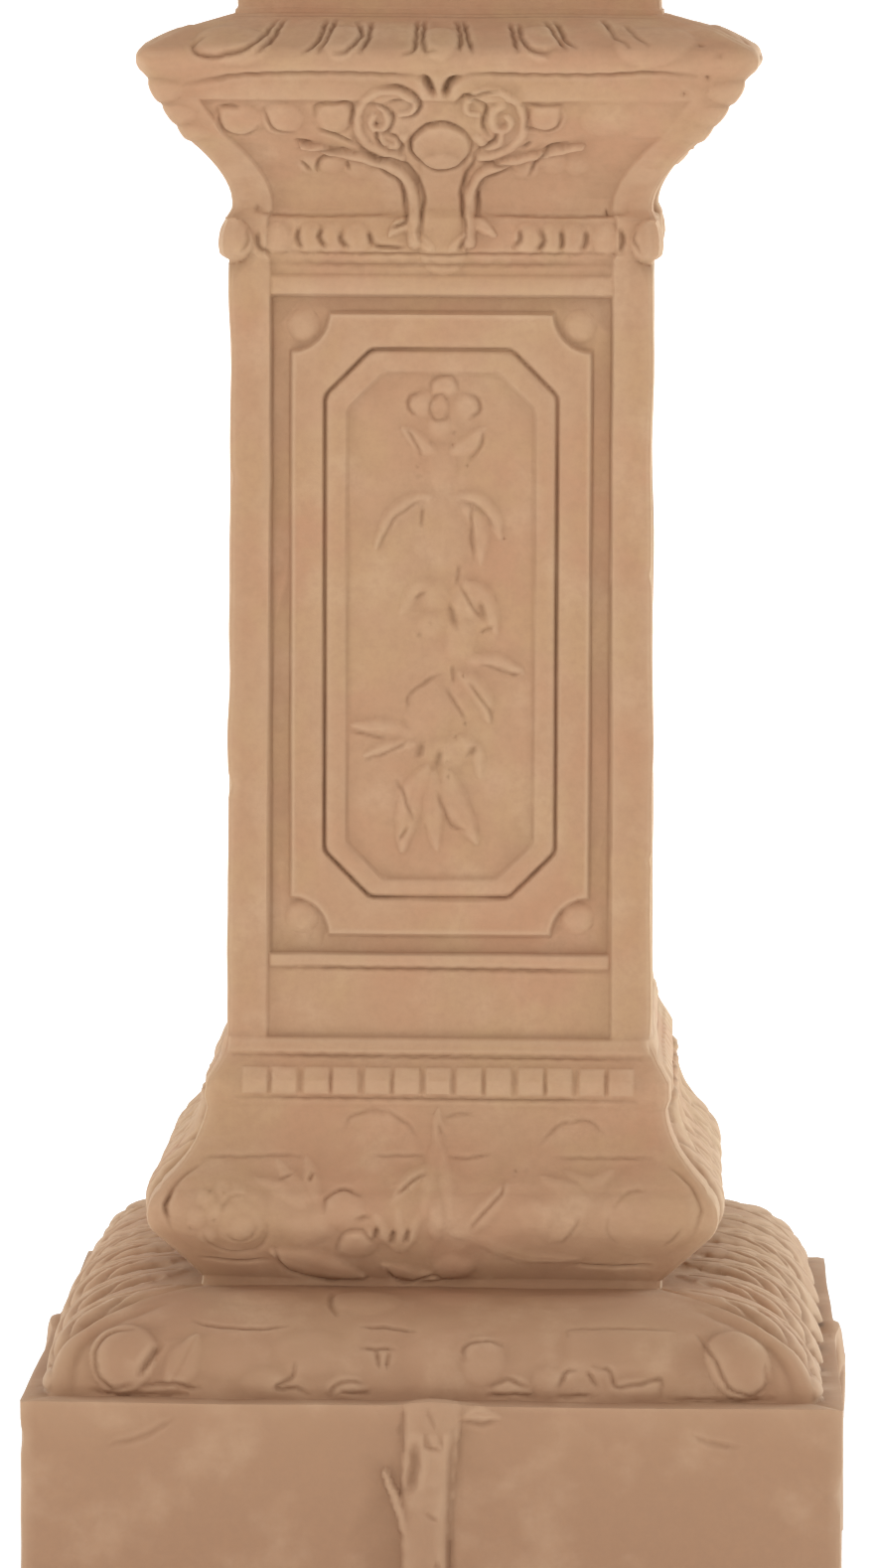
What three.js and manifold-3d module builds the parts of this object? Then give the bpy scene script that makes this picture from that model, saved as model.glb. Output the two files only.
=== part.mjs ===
// Square terracotta pedestal column, pressed in one piece: plain plinth, leafy foot cushion, carved upper
// cushion, panelled shaft and flared capital under a plain block. Millimetres, +Z up, origin at the centre
// of the underside, front face toward -Y. The front carries the full relief, the other faces the larger
// part of it.
import * as THREE from "three";
import { mergeVertices } from "three/addons/utils/BufferGeometryUtils.js";
import Module from "manifold-3d";

const wasm = await Module();
wasm.setup();

// Driving dimensions: half widths and heights of the mouldings
const HEIGHT = 900;
const PLINTH = { half: 222, top: 116.5 };
const FOOT = { half: 209, top: 163.5, fullness: 2.3 };
const SCOTIA = { half: 128, top: 168 };
const CUSHION = { half: 158, z: 208, round: 18 };
const CAVETTO = { half: 127.5, top: 264 };
const BILLETS = { footHalf: 129.3, foot: 270, shoulderHalf: 128.8, shoulder: 279, headHalf: 121, head: 291 };
const SHAFT = { footHalf: 117, foot: 318, half: 116, top: 733 };
const STRIP = { width: 22.5, proud: 2.2 };
const BEADS = { half: 118.5, foot: 737, top: 756 };
const BELL = { foot: 761, kneeHalf: 141, knee: 800, topHalf: 152.5, top: 816 };
const BAND = { footHalf: 155, foot: 819, topHalf: 162, top: 832.5 };
const LIP = { half: 168.7, z: 842.5, round: 8.2 };
const SLOPE_TOP = { half: 121, z: 868.5 };
const BLOCK = { half: 116, foot: 871.5, filletHalf: 119.5 };
const PANEL = { half: 93.5, foot: 349, top: 713, depth: 5 };
const PLATE = { half: 83, foot: 359, top: 704, notch: 21, depth: 1.6 };
const OCTAGON = { half: 64, foot: 380.5, top: 684, chamfer: 25.5, groove: 2.6 };
const SUNK = { half: 51, foot: 391.5, top: 670, chamfer: 19.5, depth: 4 };
const SINK = 3;

// Profile curves as lists of [half width, height]
const arc = (half, z, radius, from, to, steps) =>
  Array.from({ length: steps + 1 }, (_, i) => {
    const turn = THREE.MathUtils.degToRad(from + ((to - from) * i) / steps);
    return [half + radius * Math.cos(turn), z + radius * Math.sin(turn)];
  });

function bend(start, pull, end, steps) {
  const [from, toward, to] = [start, pull, end].map(([half, z]) => new THREE.Vector2(half, z));
  const curve = new THREE.QuadraticBezierCurve(from, toward, to);
  return curve.getPoints(steps).map((point) => [point.x, point.y]);
}

const footCurve = (steps) =>
  Array.from({ length: steps + 1 }, (_, i) => {
    const turn = ((Math.PI / 2) * i) / steps;
    const power = 2 / FOOT.fullness;
    const reach = (FOOT.half - SCOTIA.half) * Math.cos(turn) ** power;
    return [SCOTIA.half + reach, PLINTH.top + (FOOT.top - PLINTH.top) * Math.sin(turn) ** power];
  });

const baseProfile = [
  [PLINTH.half, 0],
  [PLINTH.half, PLINTH.top],
  ...footCurve(6).slice(0, -1),
  [SCOTIA.half, FOOT.top],
  [SCOTIA.half, SCOTIA.top],
  ...arc(CUSHION.half - CUSHION.round, CUSHION.z, CUSHION.round, -45, 50, 4),
  ...bend([150, 225], [130, 243], [CAVETTO.half, CAVETTO.top], 3),
  [BILLETS.footHalf, BILLETS.foot],
  [BILLETS.shoulderHalf, BILLETS.shoulder],
  [BILLETS.headHalf, BILLETS.head],
  [BILLETS.headHalf - 1, BILLETS.head + 4],
  [SHAFT.footHalf, SHAFT.foot],
];

const stripProfile = [
  [SHAFT.footHalf, SHAFT.foot],
  [SHAFT.half, SHAFT.top],
  [BEADS.half, BEADS.foot],
  [BEADS.half, BEADS.top],
  [SHAFT.half, BELL.foot],
  ...bend([SHAFT.half, BELL.foot + 3], [SHAFT.half + 1, 780], [BELL.kneeHalf, BELL.knee], 4),
  [BELL.topHalf, BELL.top],
  [BAND.footHalf, BAND.foot],
  [BAND.topHalf, BAND.top],
];

const headProfile = [
  [BAND.topHalf, BAND.top],
  ...arc(LIP.half - LIP.round, LIP.z, LIP.round, -55, 70, 4),
  [SLOPE_TOP.half, SLOPE_TOP.z],
  [BLOCK.filletHalf, SLOPE_TOP.z + 0.6],
  [BLOCK.filletHalf, BLOCK.foot],
  [BLOCK.half, BLOCK.foot + 0.6],
  [BLOCK.half, HEIGHT],
];

const profile = [...baseProfile, ...stripProfile.slice(1), ...headProfile.slice(1)];

// Distance along the profile from the underside, used to lay relief on the mouldings
const lengths = [0];
for (let i = 1; i < profile.length; i += 1) {
  const step = Math.hypot(profile[i][0] - profile[i - 1][0], profile[i][1] - profile[i - 1][1]);
  lengths.push(lengths[i - 1] + step);
}

const segmentNormal = (i) => {
  const k = THREE.MathUtils.clamp(i, 0, profile.length - 2);
  const across = profile[k + 1][0] - profile[k][0];
  const rise = profile[k + 1][1] - profile[k][1];
  return new THREE.Vector2(rise, -across).normalize();
};
const cornerNormals = profile.map((_, i) => segmentNormal(i - 1).add(segmentNormal(i)).normalize());

function station(distance) {
  let i = 0;
  while (i < profile.length - 2 && lengths[i + 1] < distance) i += 1;
  const share = THREE.MathUtils.clamp((distance - lengths[i]) / (lengths[i + 1] - lengths[i]), 0, 1);
  const half = THREE.MathUtils.lerp(profile[i][0], profile[i + 1][0], share);
  const z = THREE.MathUtils.lerp(profile[i][1], profile[i + 1][1], share);
  const normal = cornerNormals[i].clone().lerp(cornerNormals[i + 1], share).normalize();
  return { half, z, normal };
}

// Distance along the profile at which it reaches height z
function up(z) {
  let i = 0;
  while (i < profile.length - 2 && profile[i + 1][1] < z) i += 1;
  const share = (z - profile[i][1]) / (profile[i + 1][1] - profile[i][1]);
  return THREE.MathUtils.lerp(lengths[i], lengths[i + 1], share);
}

// Solids and geometry
function toSolid(geometry) {
  const bare = geometry.clone();
  bare.deleteAttribute("normal");
  bare.deleteAttribute("uv");
  const merged = mergeVertices(bare, 1e-4);
  const mesh = new wasm.Mesh({
    numProp: 3,
    vertProperties: new Float32Array(merged.attributes.position.array),
    triVerts: new Uint32Array(merged.index.array),
  });
  return new wasm.Manifold(mesh);
}

function toGeometry(solid) {
  const mesh = solid.getMesh();
  const geometry = new THREE.BufferGeometry();
  geometry.setAttribute("position", new THREE.BufferAttribute(new Float32Array(mesh.vertProperties), 3));
  geometry.setIndex(new THREE.BufferAttribute(new Uint32Array(mesh.triVerts), 1));
  return geometry;
}

const join = (solids) => solids.reduce((sum, solid) => sum.add(solid));

function indexed(points, triangles) {
  const geometry = new THREE.BufferGeometry();
  geometry.setAttribute("position", new THREE.Float32BufferAttribute(points, 3));
  geometry.setIndex(triangles);
  return geometry;
}

// Stacks equal rings of [x, y, z] points into a closed skin with flat fans at both ends
function loft(rings) {
  const size = rings[0].length;
  const triangles = [];
  for (let r = 0; r < rings.length - 1; r += 1) {
    for (let k = 0; k < size; k += 1) {
      const a = r * size + k;
      const b = r * size + ((k + 1) % size);
      triangles.push(a, b, b + size, a, b + size, a + size);
    }
  }
  const last = (rings.length - 1) * size;
  const outline = rings[0].map(([x, y]) => new THREE.Vector2(x, y));
  for (const [a, b, c] of THREE.ShapeUtils.triangulateShape(outline, [])) {
    triangles.push(c, b, a);
    triangles.push(last + a, last + b, last + c);
  }
  return indexed(rings.flat(2), triangles);
}

const quarterTurns = [0, 1, 2, 3];

const squareRing = ([half, z]) => [
  [-half, -half, z],
  [half, -half, z],
  [half, half, z],
  [-half, half, z],
];

// A square ring whose four sides are sunk between the corner strips
function strippedRing([half, z]) {
  const inner = half - STRIP.width;
  const sunk = half - STRIP.proud;
  const side = [
    [-half, -half],
    [-inner, -half],
    [-inner, -sunk],
    [inner, -sunk],
    [inner, -half],
  ];
  return quarterTurns.flatMap((turn) => {
    const cos = Math.round(Math.cos((turn * Math.PI) / 2));
    const sin = Math.round(Math.sin((turn * Math.PI) / 2));
    return side.map(([x, y]) => [x * cos - y * sin, x * sin + y * cos, z]);
  });
}

// Relief is modelled flat as (x across, distance up the profile, height off the face), then laid on the front
function lay(geometry) {
  const laid = geometry.clone();
  const position = laid.attributes.position;
  for (let i = 0; i < position.count; i += 1) {
    const { half, z, normal } = station(position.getY(i));
    const lift = position.getZ(i);
    position.setXYZ(i, position.getX(i), -(half + normal.x * lift), z + normal.y * lift);
  }
  return toSolid(laid);
}

// A low rounded boss; turn leans it on the face, in degrees
function boss(x, distance, across, along, height, { turn = 0, sides = 6, base = 0 } = {}) {
  const geometry = new THREE.SphereGeometry(1, sides, 3);
  geometry.rotateX(Math.PI / 2);
  geometry.scale(across * 1.1, along * 1.1, height * 1.2);
  geometry.rotateZ(THREE.MathUtils.degToRad(turn));
  geometry.translate(x, distance, base - height * 0.2);
  return lay(geometry);
}

function block(x, distance, width, length, height) {
  const geometry = new THREE.BoxGeometry(width, length, height + SINK);
  geometry.translate(x, distance, (height - SINK) / 2);
  return lay(geometry);
}

// A ridged blade swept along flat points: leaves taper at both ends, stems keep their width
function blade(points, width, height, { steps = 3, tip = 0.12, root = 0.35, base = 0 } = {}) {
  const curve = new THREE.SplineCurve(points.map(([x, y]) => new THREE.Vector2(x, y)));
  const spreadAtFoot = (height + SINK) / height;
  const rings = [];
  for (let i = 0; i <= steps; i += 1) {
    const t = i / steps;
    const middle = curve.getPoint(t);
    const along = curve.getTangent(t);
    const swell = Math.sin(Math.PI * t) ** 0.8;
    const ends = THREE.MathUtils.lerp(root, tip, t);
    const spread = (width / 2) * spreadAtFoot * (ends + (1 - ends) * swell);
    rings.push([
      [middle.x - along.y * spread, middle.y + along.x * spread, base - SINK],
      [middle.x + along.y * spread, middle.y - along.x * spread, base - SINK],
      [middle.x, middle.y, base + height * (0.4 + 0.6 * swell)],
    ]);
  }
  const last = steps * 3;
  const triangles = [0, 1, 2, last, last + 2, last + 1];
  for (let r = 0; r < steps; r += 1) {
    for (let k = 0; k < 3; k += 1) {
      const a = r * 3 + k;
      const b = r * 3 + ((k + 1) % 3);
      triangles.push(a, b + 3, b, a, a + 3, b + 3);
    }
  }
  return lay(indexed(rings.flat(2), triangles));
}

const mirror = (points) => points.map(([x, y]) => [-x, y]);
const onHeights = (points) => points.map(([x, z]) => [x, up(z)]);
const leaf = (points, width, height, options) => blade(onHeights(points), width, height, options);
const leafPair = (points, width, height, options) => [
  leaf(points, width, height, options),
  leaf(mirror(points), width, height, options),
];

// Flat plates on the shaft are cut square to the face, from depth back to depth front below the corner strips
function shaftPlate(shape, back, front) {
  const square = { depth: back - front, bevelEnabled: false, curveSegments: 3 };
  const geometry = new THREE.ExtrudeGeometry(shape, square);
  geometry.rotateX(Math.PI / 2);
  geometry.translate(0, -(SHAFT.half - back), 0);
  return toSolid(geometry);
}

function rectangle(half, foot, top) {
  return new THREE.Shape([
    new THREE.Vector2(-half, foot),
    new THREE.Vector2(half, foot),
    new THREE.Vector2(half, top),
    new THREE.Vector2(-half, top),
  ]);
}

function octagon({ half, foot, top, chamfer }, inset = 0) {
  const side = half - inset;
  const low = foot + inset;
  const high = top - inset;
  const cut = chamfer - inset * 0.59;
  return new THREE.Shape([
    new THREE.Vector2(-side + cut, low),
    new THREE.Vector2(side - cut, low),
    new THREE.Vector2(side, low + cut),
    new THREE.Vector2(side, high - cut),
    new THREE.Vector2(side - cut, high),
    new THREE.Vector2(-side + cut, high),
    new THREE.Vector2(-side, high - cut),
    new THREE.Vector2(-side, low + cut),
  ]);
}

// A plate whose corners are cut back in hollow quarter rounds
function notchedPlate({ half, foot, top, notch }) {
  const shape = new THREE.Shape();
  shape.moveTo(-half + notch, foot);
  shape.lineTo(half - notch, foot);
  shape.absarc(half, foot, notch, Math.PI, Math.PI / 2, true);
  shape.lineTo(half, top - notch);
  shape.absarc(half, top, notch, -Math.PI / 2, -Math.PI, true);
  shape.lineTo(-half + notch, top);
  shape.absarc(-half, top, notch, 0, -Math.PI / 2, true);
  shape.lineTo(-half, foot + notch);
  shape.absarc(-half, foot, notch, Math.PI / 2, 0, true);
  return shape;
}

// Capital: eggs and darts on the slope
function capitalEggs() {
  const foot = up(LIP.z + LIP.round);
  const middle = foot + 15;
  const eggs = [-54, 0, 54].map((x) => boss(x, middle, 10, 17, 4.5, { turn: x / 6, sides: 5 }));
  const cornerEggs = [-1, 1].map((side) =>
    boss(side * 110, middle - 1, 17, 17, 4, { turn: side * 28, sides: 5 }));
  const darts = [-82, -27, 27, 82].map((x) =>
    blade([[x, foot + 3], [x * 0.84, foot + 34]], 8, 3, { steps: 1, tip: 0.9, root: 0.4 }));
  return [...eggs, ...cornerEggs, ...darts];
}

// Capital: medallion on a calyx, held by two volutes, with branches reaching along the bell
const onField = { base: -STRIP.proud };

function capitalMedallion() {
  return [
    boss(0, up(795.5), 16.5, 14.5, 6, { ...onField, sides: 8 }),
    leaf([[0, 834], [0, 812]], 13, 5, { ...onField, steps: 2 }),
    leaf([[1.5, 737], [0, 760], [0, 784]], 28, 8, { ...onField, root: 0.95, tip: 0.6 }),
  ];
}

function capitalVolutes() {
  const volute = [];
  for (let i = 0; i <= 10; i += 1) {
    const turn = THREE.MathUtils.degToRad(40 + 40 * i);
    const shrink = 1 - 0.065 * i;
    volute.push([-24 + 15 * shrink * Math.cos(turn), 809 + 19 * shrink * Math.sin(turn)]);
  }
  const branch = [[-12, 770], [-22, 784], [-46, 791], [-72, 795]];
  const curl = [[-15, 764], [-22, 776], [-34, 780], [-42, 774]];
  return [
    ...leafPair(volute, 8, 5.5, { ...onField, steps: 7, root: 0.8, tip: 0.6 }),
    ...leafPair(branch, 11, 6, { ...onField, root: 0.8 }),
    ...leafPair(curl, 7, 5, onField),
    ...leafPair([[-6, 742], [-16, 752], [-27, 744]], 9, 5, { ...onField, steps: 2 }),
    ...leafPair([[-38, 789], [-46, 780]], 12, 5, { ...onField, steps: 2 }),
    ...leafPair([[-52, 791], [-61, 781]], 12, 5, { ...onField, steps: 2 }),
  ];
}

function capitalTongues() {
  return [57, 84, 109].flatMap((x) =>
    leafPair([[x, 817], [x - 1, 800]], 20, 5.5, { ...onField, steps: 2, root: 0.95 }));
}

function beadRow() {
  const middle = up((BEADS.foot + BEADS.top) / 2);
  return [46, 64, 82].flatMap((x) =>
    [-x, x].map((at) => boss(at, middle, 8, 9.5, 4, { sides: 4, turn: -at / 8 })));
}

// Shaft: rails, notched plate, roundels, octagonal frame and the flower spray in its sunk field
function panelRecess() {
  return shaftPlate(rectangle(PANEL.half, PANEL.foot, PANEL.top), PANEL.depth, -20);
}

function panelPlates() {
  const plate = notchedPlate(PLATE);
  plate.holes.push(octagon(OCTAGON));
  const frame = octagon(OCTAGON, OCTAGON.groove);
  frame.holes.push(octagon(SUNK));
  return [
    shaftPlate(plate, PANEL.depth + SINK, PLATE.depth),
    shaftPlate(frame, PANEL.depth + SINK, PLATE.depth - 0.6),
    shaftPlate(octagon(SUNK), PANEL.depth + SINK, SUNK.depth),
    shaftPlate(rectangle(PANEL.half + 0.5, PANEL.top, PANEL.top + 10), PANEL.depth, 0.8),
    shaftPlate(rectangle(PANEL.half + 0.5, 341, PANEL.foot), PANEL.depth, 0.8),
  ];
}

function roundels() {
  return [[-76, 697], [76, 697], [-76.5, 369], [76.5, 369]].map(([x, z]) => {
    const geometry = new THREE.SphereGeometry(8.8, 6, 3);
    geometry.scale(1, 0.7, 1);
    geometry.translate(x, -(SHAFT.half - PANEL.depth), z);
    return toSolid(geometry);
  });
}

function flowerSpray() {
  const inField = { base: -SUNK.depth };
  const petal = (x, z, size) => boss(x, up(z), size, size, 3, { ...inField, sides: 5 });
  return [
    petal(-1, 665, 8),
    petal(-12, 653, 7),
    petal(10, 653, 7),
    petal(-12, 487, 16),
    leaf([[-1, 646], [2, 600], [-6, 520], [-4, 452]], 8, 3, { ...inField, root: 0.8, tip: 0.8 }),
    ...leafPair([[3, 638], [22, 630]], 10, 3, { ...inField, steps: 2 }),
    ...leafPair([[5, 602], [21, 597], [34, 579]], 12, 3.2, inField),
    leaf([[-6, 562], [-16, 556], [-26, 540]], 10, 3, { ...inField, steps: 2 }),
    leaf([[8, 562], [20, 548], [26, 526]], 12, 3, { ...inField, steps: 2 }),
    leaf([[12, 507], [43, 500]], 11, 3, { ...inField, steps: 2 }),
    leaf([[-12, 464], [-49, 472]], 11, 3, { ...inField, steps: 2 }),
    leaf([[-6, 456], [-18, 434], [-27, 402]], 16, 3.6, { ...inField, steps: 2 }),
    leaf([[5, 456], [18, 434], [27, 402]], 16, 3.6, { ...inField, steps: 2 }),
  ];
}

// Base: billets, rosettes, palmette and scrolls on the upper cushion, with a leafy hem under it
function billetRow() {
  const pitch = 17;
  const middle = up(278.5);
  return Array.from({ length: 13 }, (_, i) => block((i - 6) * pitch, middle, 13.4, 13, 2.6));
}

function cushionRelief() {
  const rosettes = [-115, 115].map((x) => boss(x, up(206), 20, 20, 5, { sides: 7 }));
  const hem = [-76, -38, 0, 38, 76].map((x) => boss(x, up(182), 19, 14, 5, { sides: 4 }));
  return [...rosettes, ...hem];
}

function cushionScrolls() {
  const petals = [-18, 0, 18].map((x) =>
    leaf([[x * 0.15, 240], [x * 0.7, 222], [x, 200 + Math.abs(x) * 0.4]], 14, 5, { steps: 2 }));
  return [
    ...petals,
    ...leafPair([[24, 205], [42, 222], [66, 220], [86, 204]], 14, 4.5),
    ...leafPair([[34, 236], [58, 232], [84, 240]], 8, 3.5, { steps: 2 }),
  ];
}

// Foot: leaves rolling over the cushion from the scotia, with an egg at each end
function footLeaves() {
  const foot = up(PLINTH.top + 1);
  const top = up(FOOT.top - 4);
  const rolling = { steps: 2, root: 0.7, tip: 0.5 };
  const leaves = [-104, -52, 0, 52, 104].map((x) =>
    blade([[x * 0.92, top], [x * 0.97, (foot + top) / 2 + 10], [x, foot + 8]], 42, 8.5, rolling));
  const eggs = [-166, 166].map((x) => boss(x, foot + 28, 17, 24, 6, { turn: x / 8 }));
  return [...leaves, ...eggs];
}

// Plinth: a stalk up the middle of each face, with a sprig and hanging leaf tips on the front
function plinthStalk() {
  return [leaf([[-2, 112], [-1, 80], [-2, 40], [-1, 0.5]], 26, 9, { root: 0.9, tip: 0.9 })];
}

function plinthLeaves() {
  const sprig = leaf([[-8, 84], [-17, 80], [-25, 70]], 10, 5, { steps: 2 });
  const tips = [-155, 155].map((x) => boss(x, up(102), 22, 12, 2.6));
  return [sprig, ...tips];
}

const everyFace = toGeometry(join([
  ...capitalEggs(),
  ...capitalMedallion(),
  ...beadRow(),
  ...panelPlates(),
  ...roundels(),
  ...billetRow(),
  ...cushionRelief(),
  ...footLeaves(),
  ...plinthStalk(),
]));
const frontOnly = join([
  ...capitalVolutes(),
  ...capitalTongues(),
  ...flowerSpray(),
  ...cushionScrolls(),
  ...plinthLeaves(),
]);

const onFourFaces = (geometry) =>
  quarterTurns.map((turn) => toSolid(geometry.clone().rotateZ((turn * Math.PI) / 2)));

function cornerKnob() {
  const geometry = new THREE.SphereGeometry(11, 7, 4);
  geometry.translate(SHAFT.half - 4.5, -(SHAFT.half - 4.5), (BEADS.foot + BEADS.top) / 2);
  return geometry;
}

const body = join([
  toSolid(loft([...baseProfile, [SHAFT.footHalf - 8, SHAFT.foot + 6]].map(squareRing))),
  toSolid(loft(stripProfile.map(strippedRing))),
  toSolid(loft([[BAND.topHalf - 8, BAND.top - 3], ...headProfile].map(squareRing))),
]);
const recesses = onFourFaces(toGeometry(panelRecess()));
const recessed = recesses.reduce((solid, recess) => solid.subtract(recess), body);
const relief = [...onFourFaces(everyFace), frontOnly];
const knobs = onFourFaces(cornerKnob());
const underside = new THREE.BoxGeometry(600, 600, 50).translate(0, 0, -25);
const carved = join([recessed, ...relief, ...knobs]).subtract(toSolid(underside));

const terracotta = new THREE.MeshStandardMaterial({
  name: "terracotta",
  color: 0xc39b7b,
  roughness: 0.9,
  metalness: 0,
});
const column = new THREE.Mesh(toGeometry(carved), terracotta);
column.name = "column";

const part = new THREE.Group();
part.name = "terracotta_column";
part.add(column);

export default part;
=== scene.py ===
"""Square pressed terracotta pedestal column with carved faces, dressed on the shared frame."""

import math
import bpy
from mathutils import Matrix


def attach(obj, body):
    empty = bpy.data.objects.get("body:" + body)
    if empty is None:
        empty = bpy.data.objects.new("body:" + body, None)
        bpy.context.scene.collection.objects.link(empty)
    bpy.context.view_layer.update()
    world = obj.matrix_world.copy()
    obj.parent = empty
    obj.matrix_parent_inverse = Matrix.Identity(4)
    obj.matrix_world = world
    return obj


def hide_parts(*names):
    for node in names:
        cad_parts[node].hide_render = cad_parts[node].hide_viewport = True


bl_info = {
    "name": "Terracotta Pedestal Column",
    "version": (1, 0, 0),
    "blender": (4, 5, 0),
    "location": "3D View > Sidebar > Column",
    "description": "Models a square pressed terracotta column with relief on its four faces",
    "category": "Add Mesh",
}

import bpy
import numpy as np
from mathutils import Matrix, Vector

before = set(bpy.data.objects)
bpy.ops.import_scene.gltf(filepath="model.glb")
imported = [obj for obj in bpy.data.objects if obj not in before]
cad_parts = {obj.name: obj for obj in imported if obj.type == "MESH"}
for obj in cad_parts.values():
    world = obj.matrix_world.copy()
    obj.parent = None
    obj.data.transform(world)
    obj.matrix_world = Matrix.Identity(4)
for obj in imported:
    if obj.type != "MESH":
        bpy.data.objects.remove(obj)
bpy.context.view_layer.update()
NODE = "column"
PIECE = "terracotta_column"
MM = 0.001


def length(name, description, millimetres):
    """A length property whose default is given in millimetres."""
    return bpy.props.FloatProperty(
        name=name, description=description, default=millimetres * MM, min=0.0, unit="LENGTH", precision=4
    )


def colour(name, description, value):
    """A colour property in linear light."""
    return bpy.props.FloatVectorProperty(
        name=name, description=description, default=value, size=3, min=0.0, max=1.0, subtype="COLOR"
    )


class ColumnSizes(bpy.types.PropertyGroup):
    """Sizes of the mouldings; half widths are measured from the axis to a face."""

    height: length("Height", "Underside to the top of the block", 900)
    plinth_half: length("Plinth half width", "Axis to the plinth's face", 224)
    plinth_top: length("Plinth height", "Underside to the plinth's upper edge", 116.5)
    foot_half: length("Foot half width", "Axis to the swell of the leafy foot", 209)
    foot_top: length("Foot height", "Underside to the top of the leafy foot", 163.5)
    scotia_half: length("Hollow half width", "Axis to the hollow between foot and cushion", 128)
    cushion_half: length("Cushion half width", "Axis to the swell of the upper cushion", 158)
    cushion_z: length("Cushion height", "Underside to the swell of the upper cushion", 208)
    shaft_half: length("Shaft half width", "Axis to the corner strips of the shaft", 116)
    shaft_top: length("Shaft height", "Underside to the top of the shaft", 733)
    capital_half: length("Capital half width", "Axis to the lip of the capital", 168.7)
    capital_z: length("Capital height", "Underside to the lip of the capital", 842.5)
    strip_width: length("Corner strip width", "Plain strip beside each corner", 22.5)
    strip_proud: length("Corner strip height", "How far the strips stand proud of the field", 2.2)
    panel_depth: length("Panel depth", "How far the panel is sunk below the corner strips", 5)
    arris_round: length("Arris rounding", "Radius of the worn corners", 3)


class ColumnFinish(bpy.types.PropertyGroup):
    """Fineness of the relief, colours of the fired clay, and the colours of the painted shade and highlight
    laid over it.
    """

    clay: colour("Clay", "Main colour of the fired clay", (0.468, 0.277, 0.162))
    blush: colour("Blush", "Pinker clay in the drifts of colour", (0.473, 0.254, 0.147))
    # Bloom is also laid on raised edges and arrises as a pale painted highlight, partly wear.
    bloom_and_highlight: colour("Bloom", "Pale dry bloom on the clay", (0.600, 0.400, 0.258))
    straw: colour("Straw", "Yellower clay in the drifts of colour", (0.480, 0.297, 0.160))
    # Painted shade: the clay is made darker towards the foot, where less light falls.
    foot_shade: colour("Damp foot", "Browner clay toward the foot", (0.362, 0.206, 0.123))
    grit: colour("Grit", "Darker grains in the clay", (0.400, 0.225, 0.130))
    # Painted shade: dark colour laid in the grooves, along the recess edges and in the hollows, where shade
    # falls.
    groove: colour("Groove", "Dark clay dust in the tool marks", (0.155, 0.075, 0.036))
    relief_step: length("Relief step", "Spacing of the carved grid", 1.15)
    triangles: bpy.props.IntProperty(
        name="Triangles", description="Most triangles left in the finished column", default=196000, min=10000
    )
    wobble: length("Wobble", "How far the hand-pressed faces wander", 0.35)


class ColumnView(bpy.types.PropertyGroup):
    """Place of the camera and strength of the studio lights."""

    distance: length("Distance", "Camera to the column's axis, level", 3829)
    eye: length("Eye height", "Camera above the floor", 880)
    turn: bpy.props.FloatProperty(
        name="Turn", description="Camera's turn round the column", default=math.radians(1.8), subtype="ANGLE"
    )
    tilt: bpy.props.FloatProperty(
        name="Tilt", description="Downward tilt of the camera", default=math.radians(6.7), subtype="ANGLE"
    )
    roll: bpy.props.FloatProperty(
        name="Roll", description="Lean of the camera", default=math.radians(0.2), subtype="ANGLE"
    )
    lens: bpy.props.FloatProperty(
        name="Lens",
        description="Focal length in millimetres",
        default=155.13,
        min=1.0,
        subtype="DISTANCE_CAMERA",
    )
    key_power: bpy.props.FloatProperty(
        name="Key light", description="Power of the main soft light", default=29.0, min=0.0, unit="POWER"
    )


def sizes():
    """Column sizes in millimetres."""
    group = bpy.context.scene.column_sizes
    return {key: getattr(group, key) / MM for key in group.__annotations__}


# Profile curves, as lists of (half width, height) in millimetres

def arc(half, z, radius, start, end, steps=24):
    """Points on a round moulding between two angles in degrees."""
    turns = np.radians(np.linspace(start, end, steps))
    return [(half + radius * math.cos(t), z + radius * math.sin(t)) for t in turns]


def hollow(start, pull, end, steps=24):
    """Points on a hollow moulding drawn from start to end toward a pull point."""
    shares = np.linspace(0.0, 1.0, steps)
    return [
        tuple((1 - t) ** 2 * a + 2 * t * (1 - t) * b + t * t * c for a, b, c in zip(start, pull, end))
        for t in shares
    ]


def foot_swell(size, fullness=2.3, steps=48):
    """Full quarter curve of the leafy foot, from the ledge on the plinth up to the hollow."""
    power = 2.0 / fullness
    reach = size["foot_half"] - size["scotia_half"]
    rise = size["foot_top"] - size["plinth_top"]
    turns = np.linspace(0.0, math.pi / 2, steps)
    return [
        (
            size["scotia_half"] + reach * max(math.cos(t), 0.0) ** power,
            size["plinth_top"] + rise * math.sin(t) ** power,
        )
        for t in turns
    ]


def column_profile(size):
    """The whole outline from the underside up to the top of the block."""
    cushion_round = 18
    lip_round = 8.2
    shaft = size["shaft_half"]
    points = [(size["plinth_half"], 0.0), (size["plinth_half"], size["plinth_top"])]
    points += foot_swell(size)
    points += [(size["scotia_half"], size["foot_top"] + 4.5)]
    points += arc(size["cushion_half"] - cushion_round, size["cushion_z"], cushion_round, -45, 50)
    points += hollow((150, 225), (130, 243), (127.5, 264))
    points += [(129.3, 270), (128.8, 279), (122, 290), (120.5, 294)]
    points += hollow((120.5, 294), (118.6, 298), (shaft + 2.0, 308), 10)
    points += [(shaft + 1.8, 440), (shaft + 0.5, 620)]
    points += [(shaft + 0.5, size["shaft_top"]), (118.5, 737), (118.5, 756), (shaft, 761)]
    points += hollow((shaft, 764), (shaft + 1, 780), (141, 800))
    points += [(152.5, 816), (155, 819), (162, 832.5)]
    points += arc(size["capital_half"] - lip_round, size["capital_z"], lip_round, -55, 70)
    points += [(147, 858.8), (119.5, 867.2), (117.4, 867.6), (117.2, 870)]
    points += [(shaft, 870.4), (shaft, size["height"])]
    return np.array(points)


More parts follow.
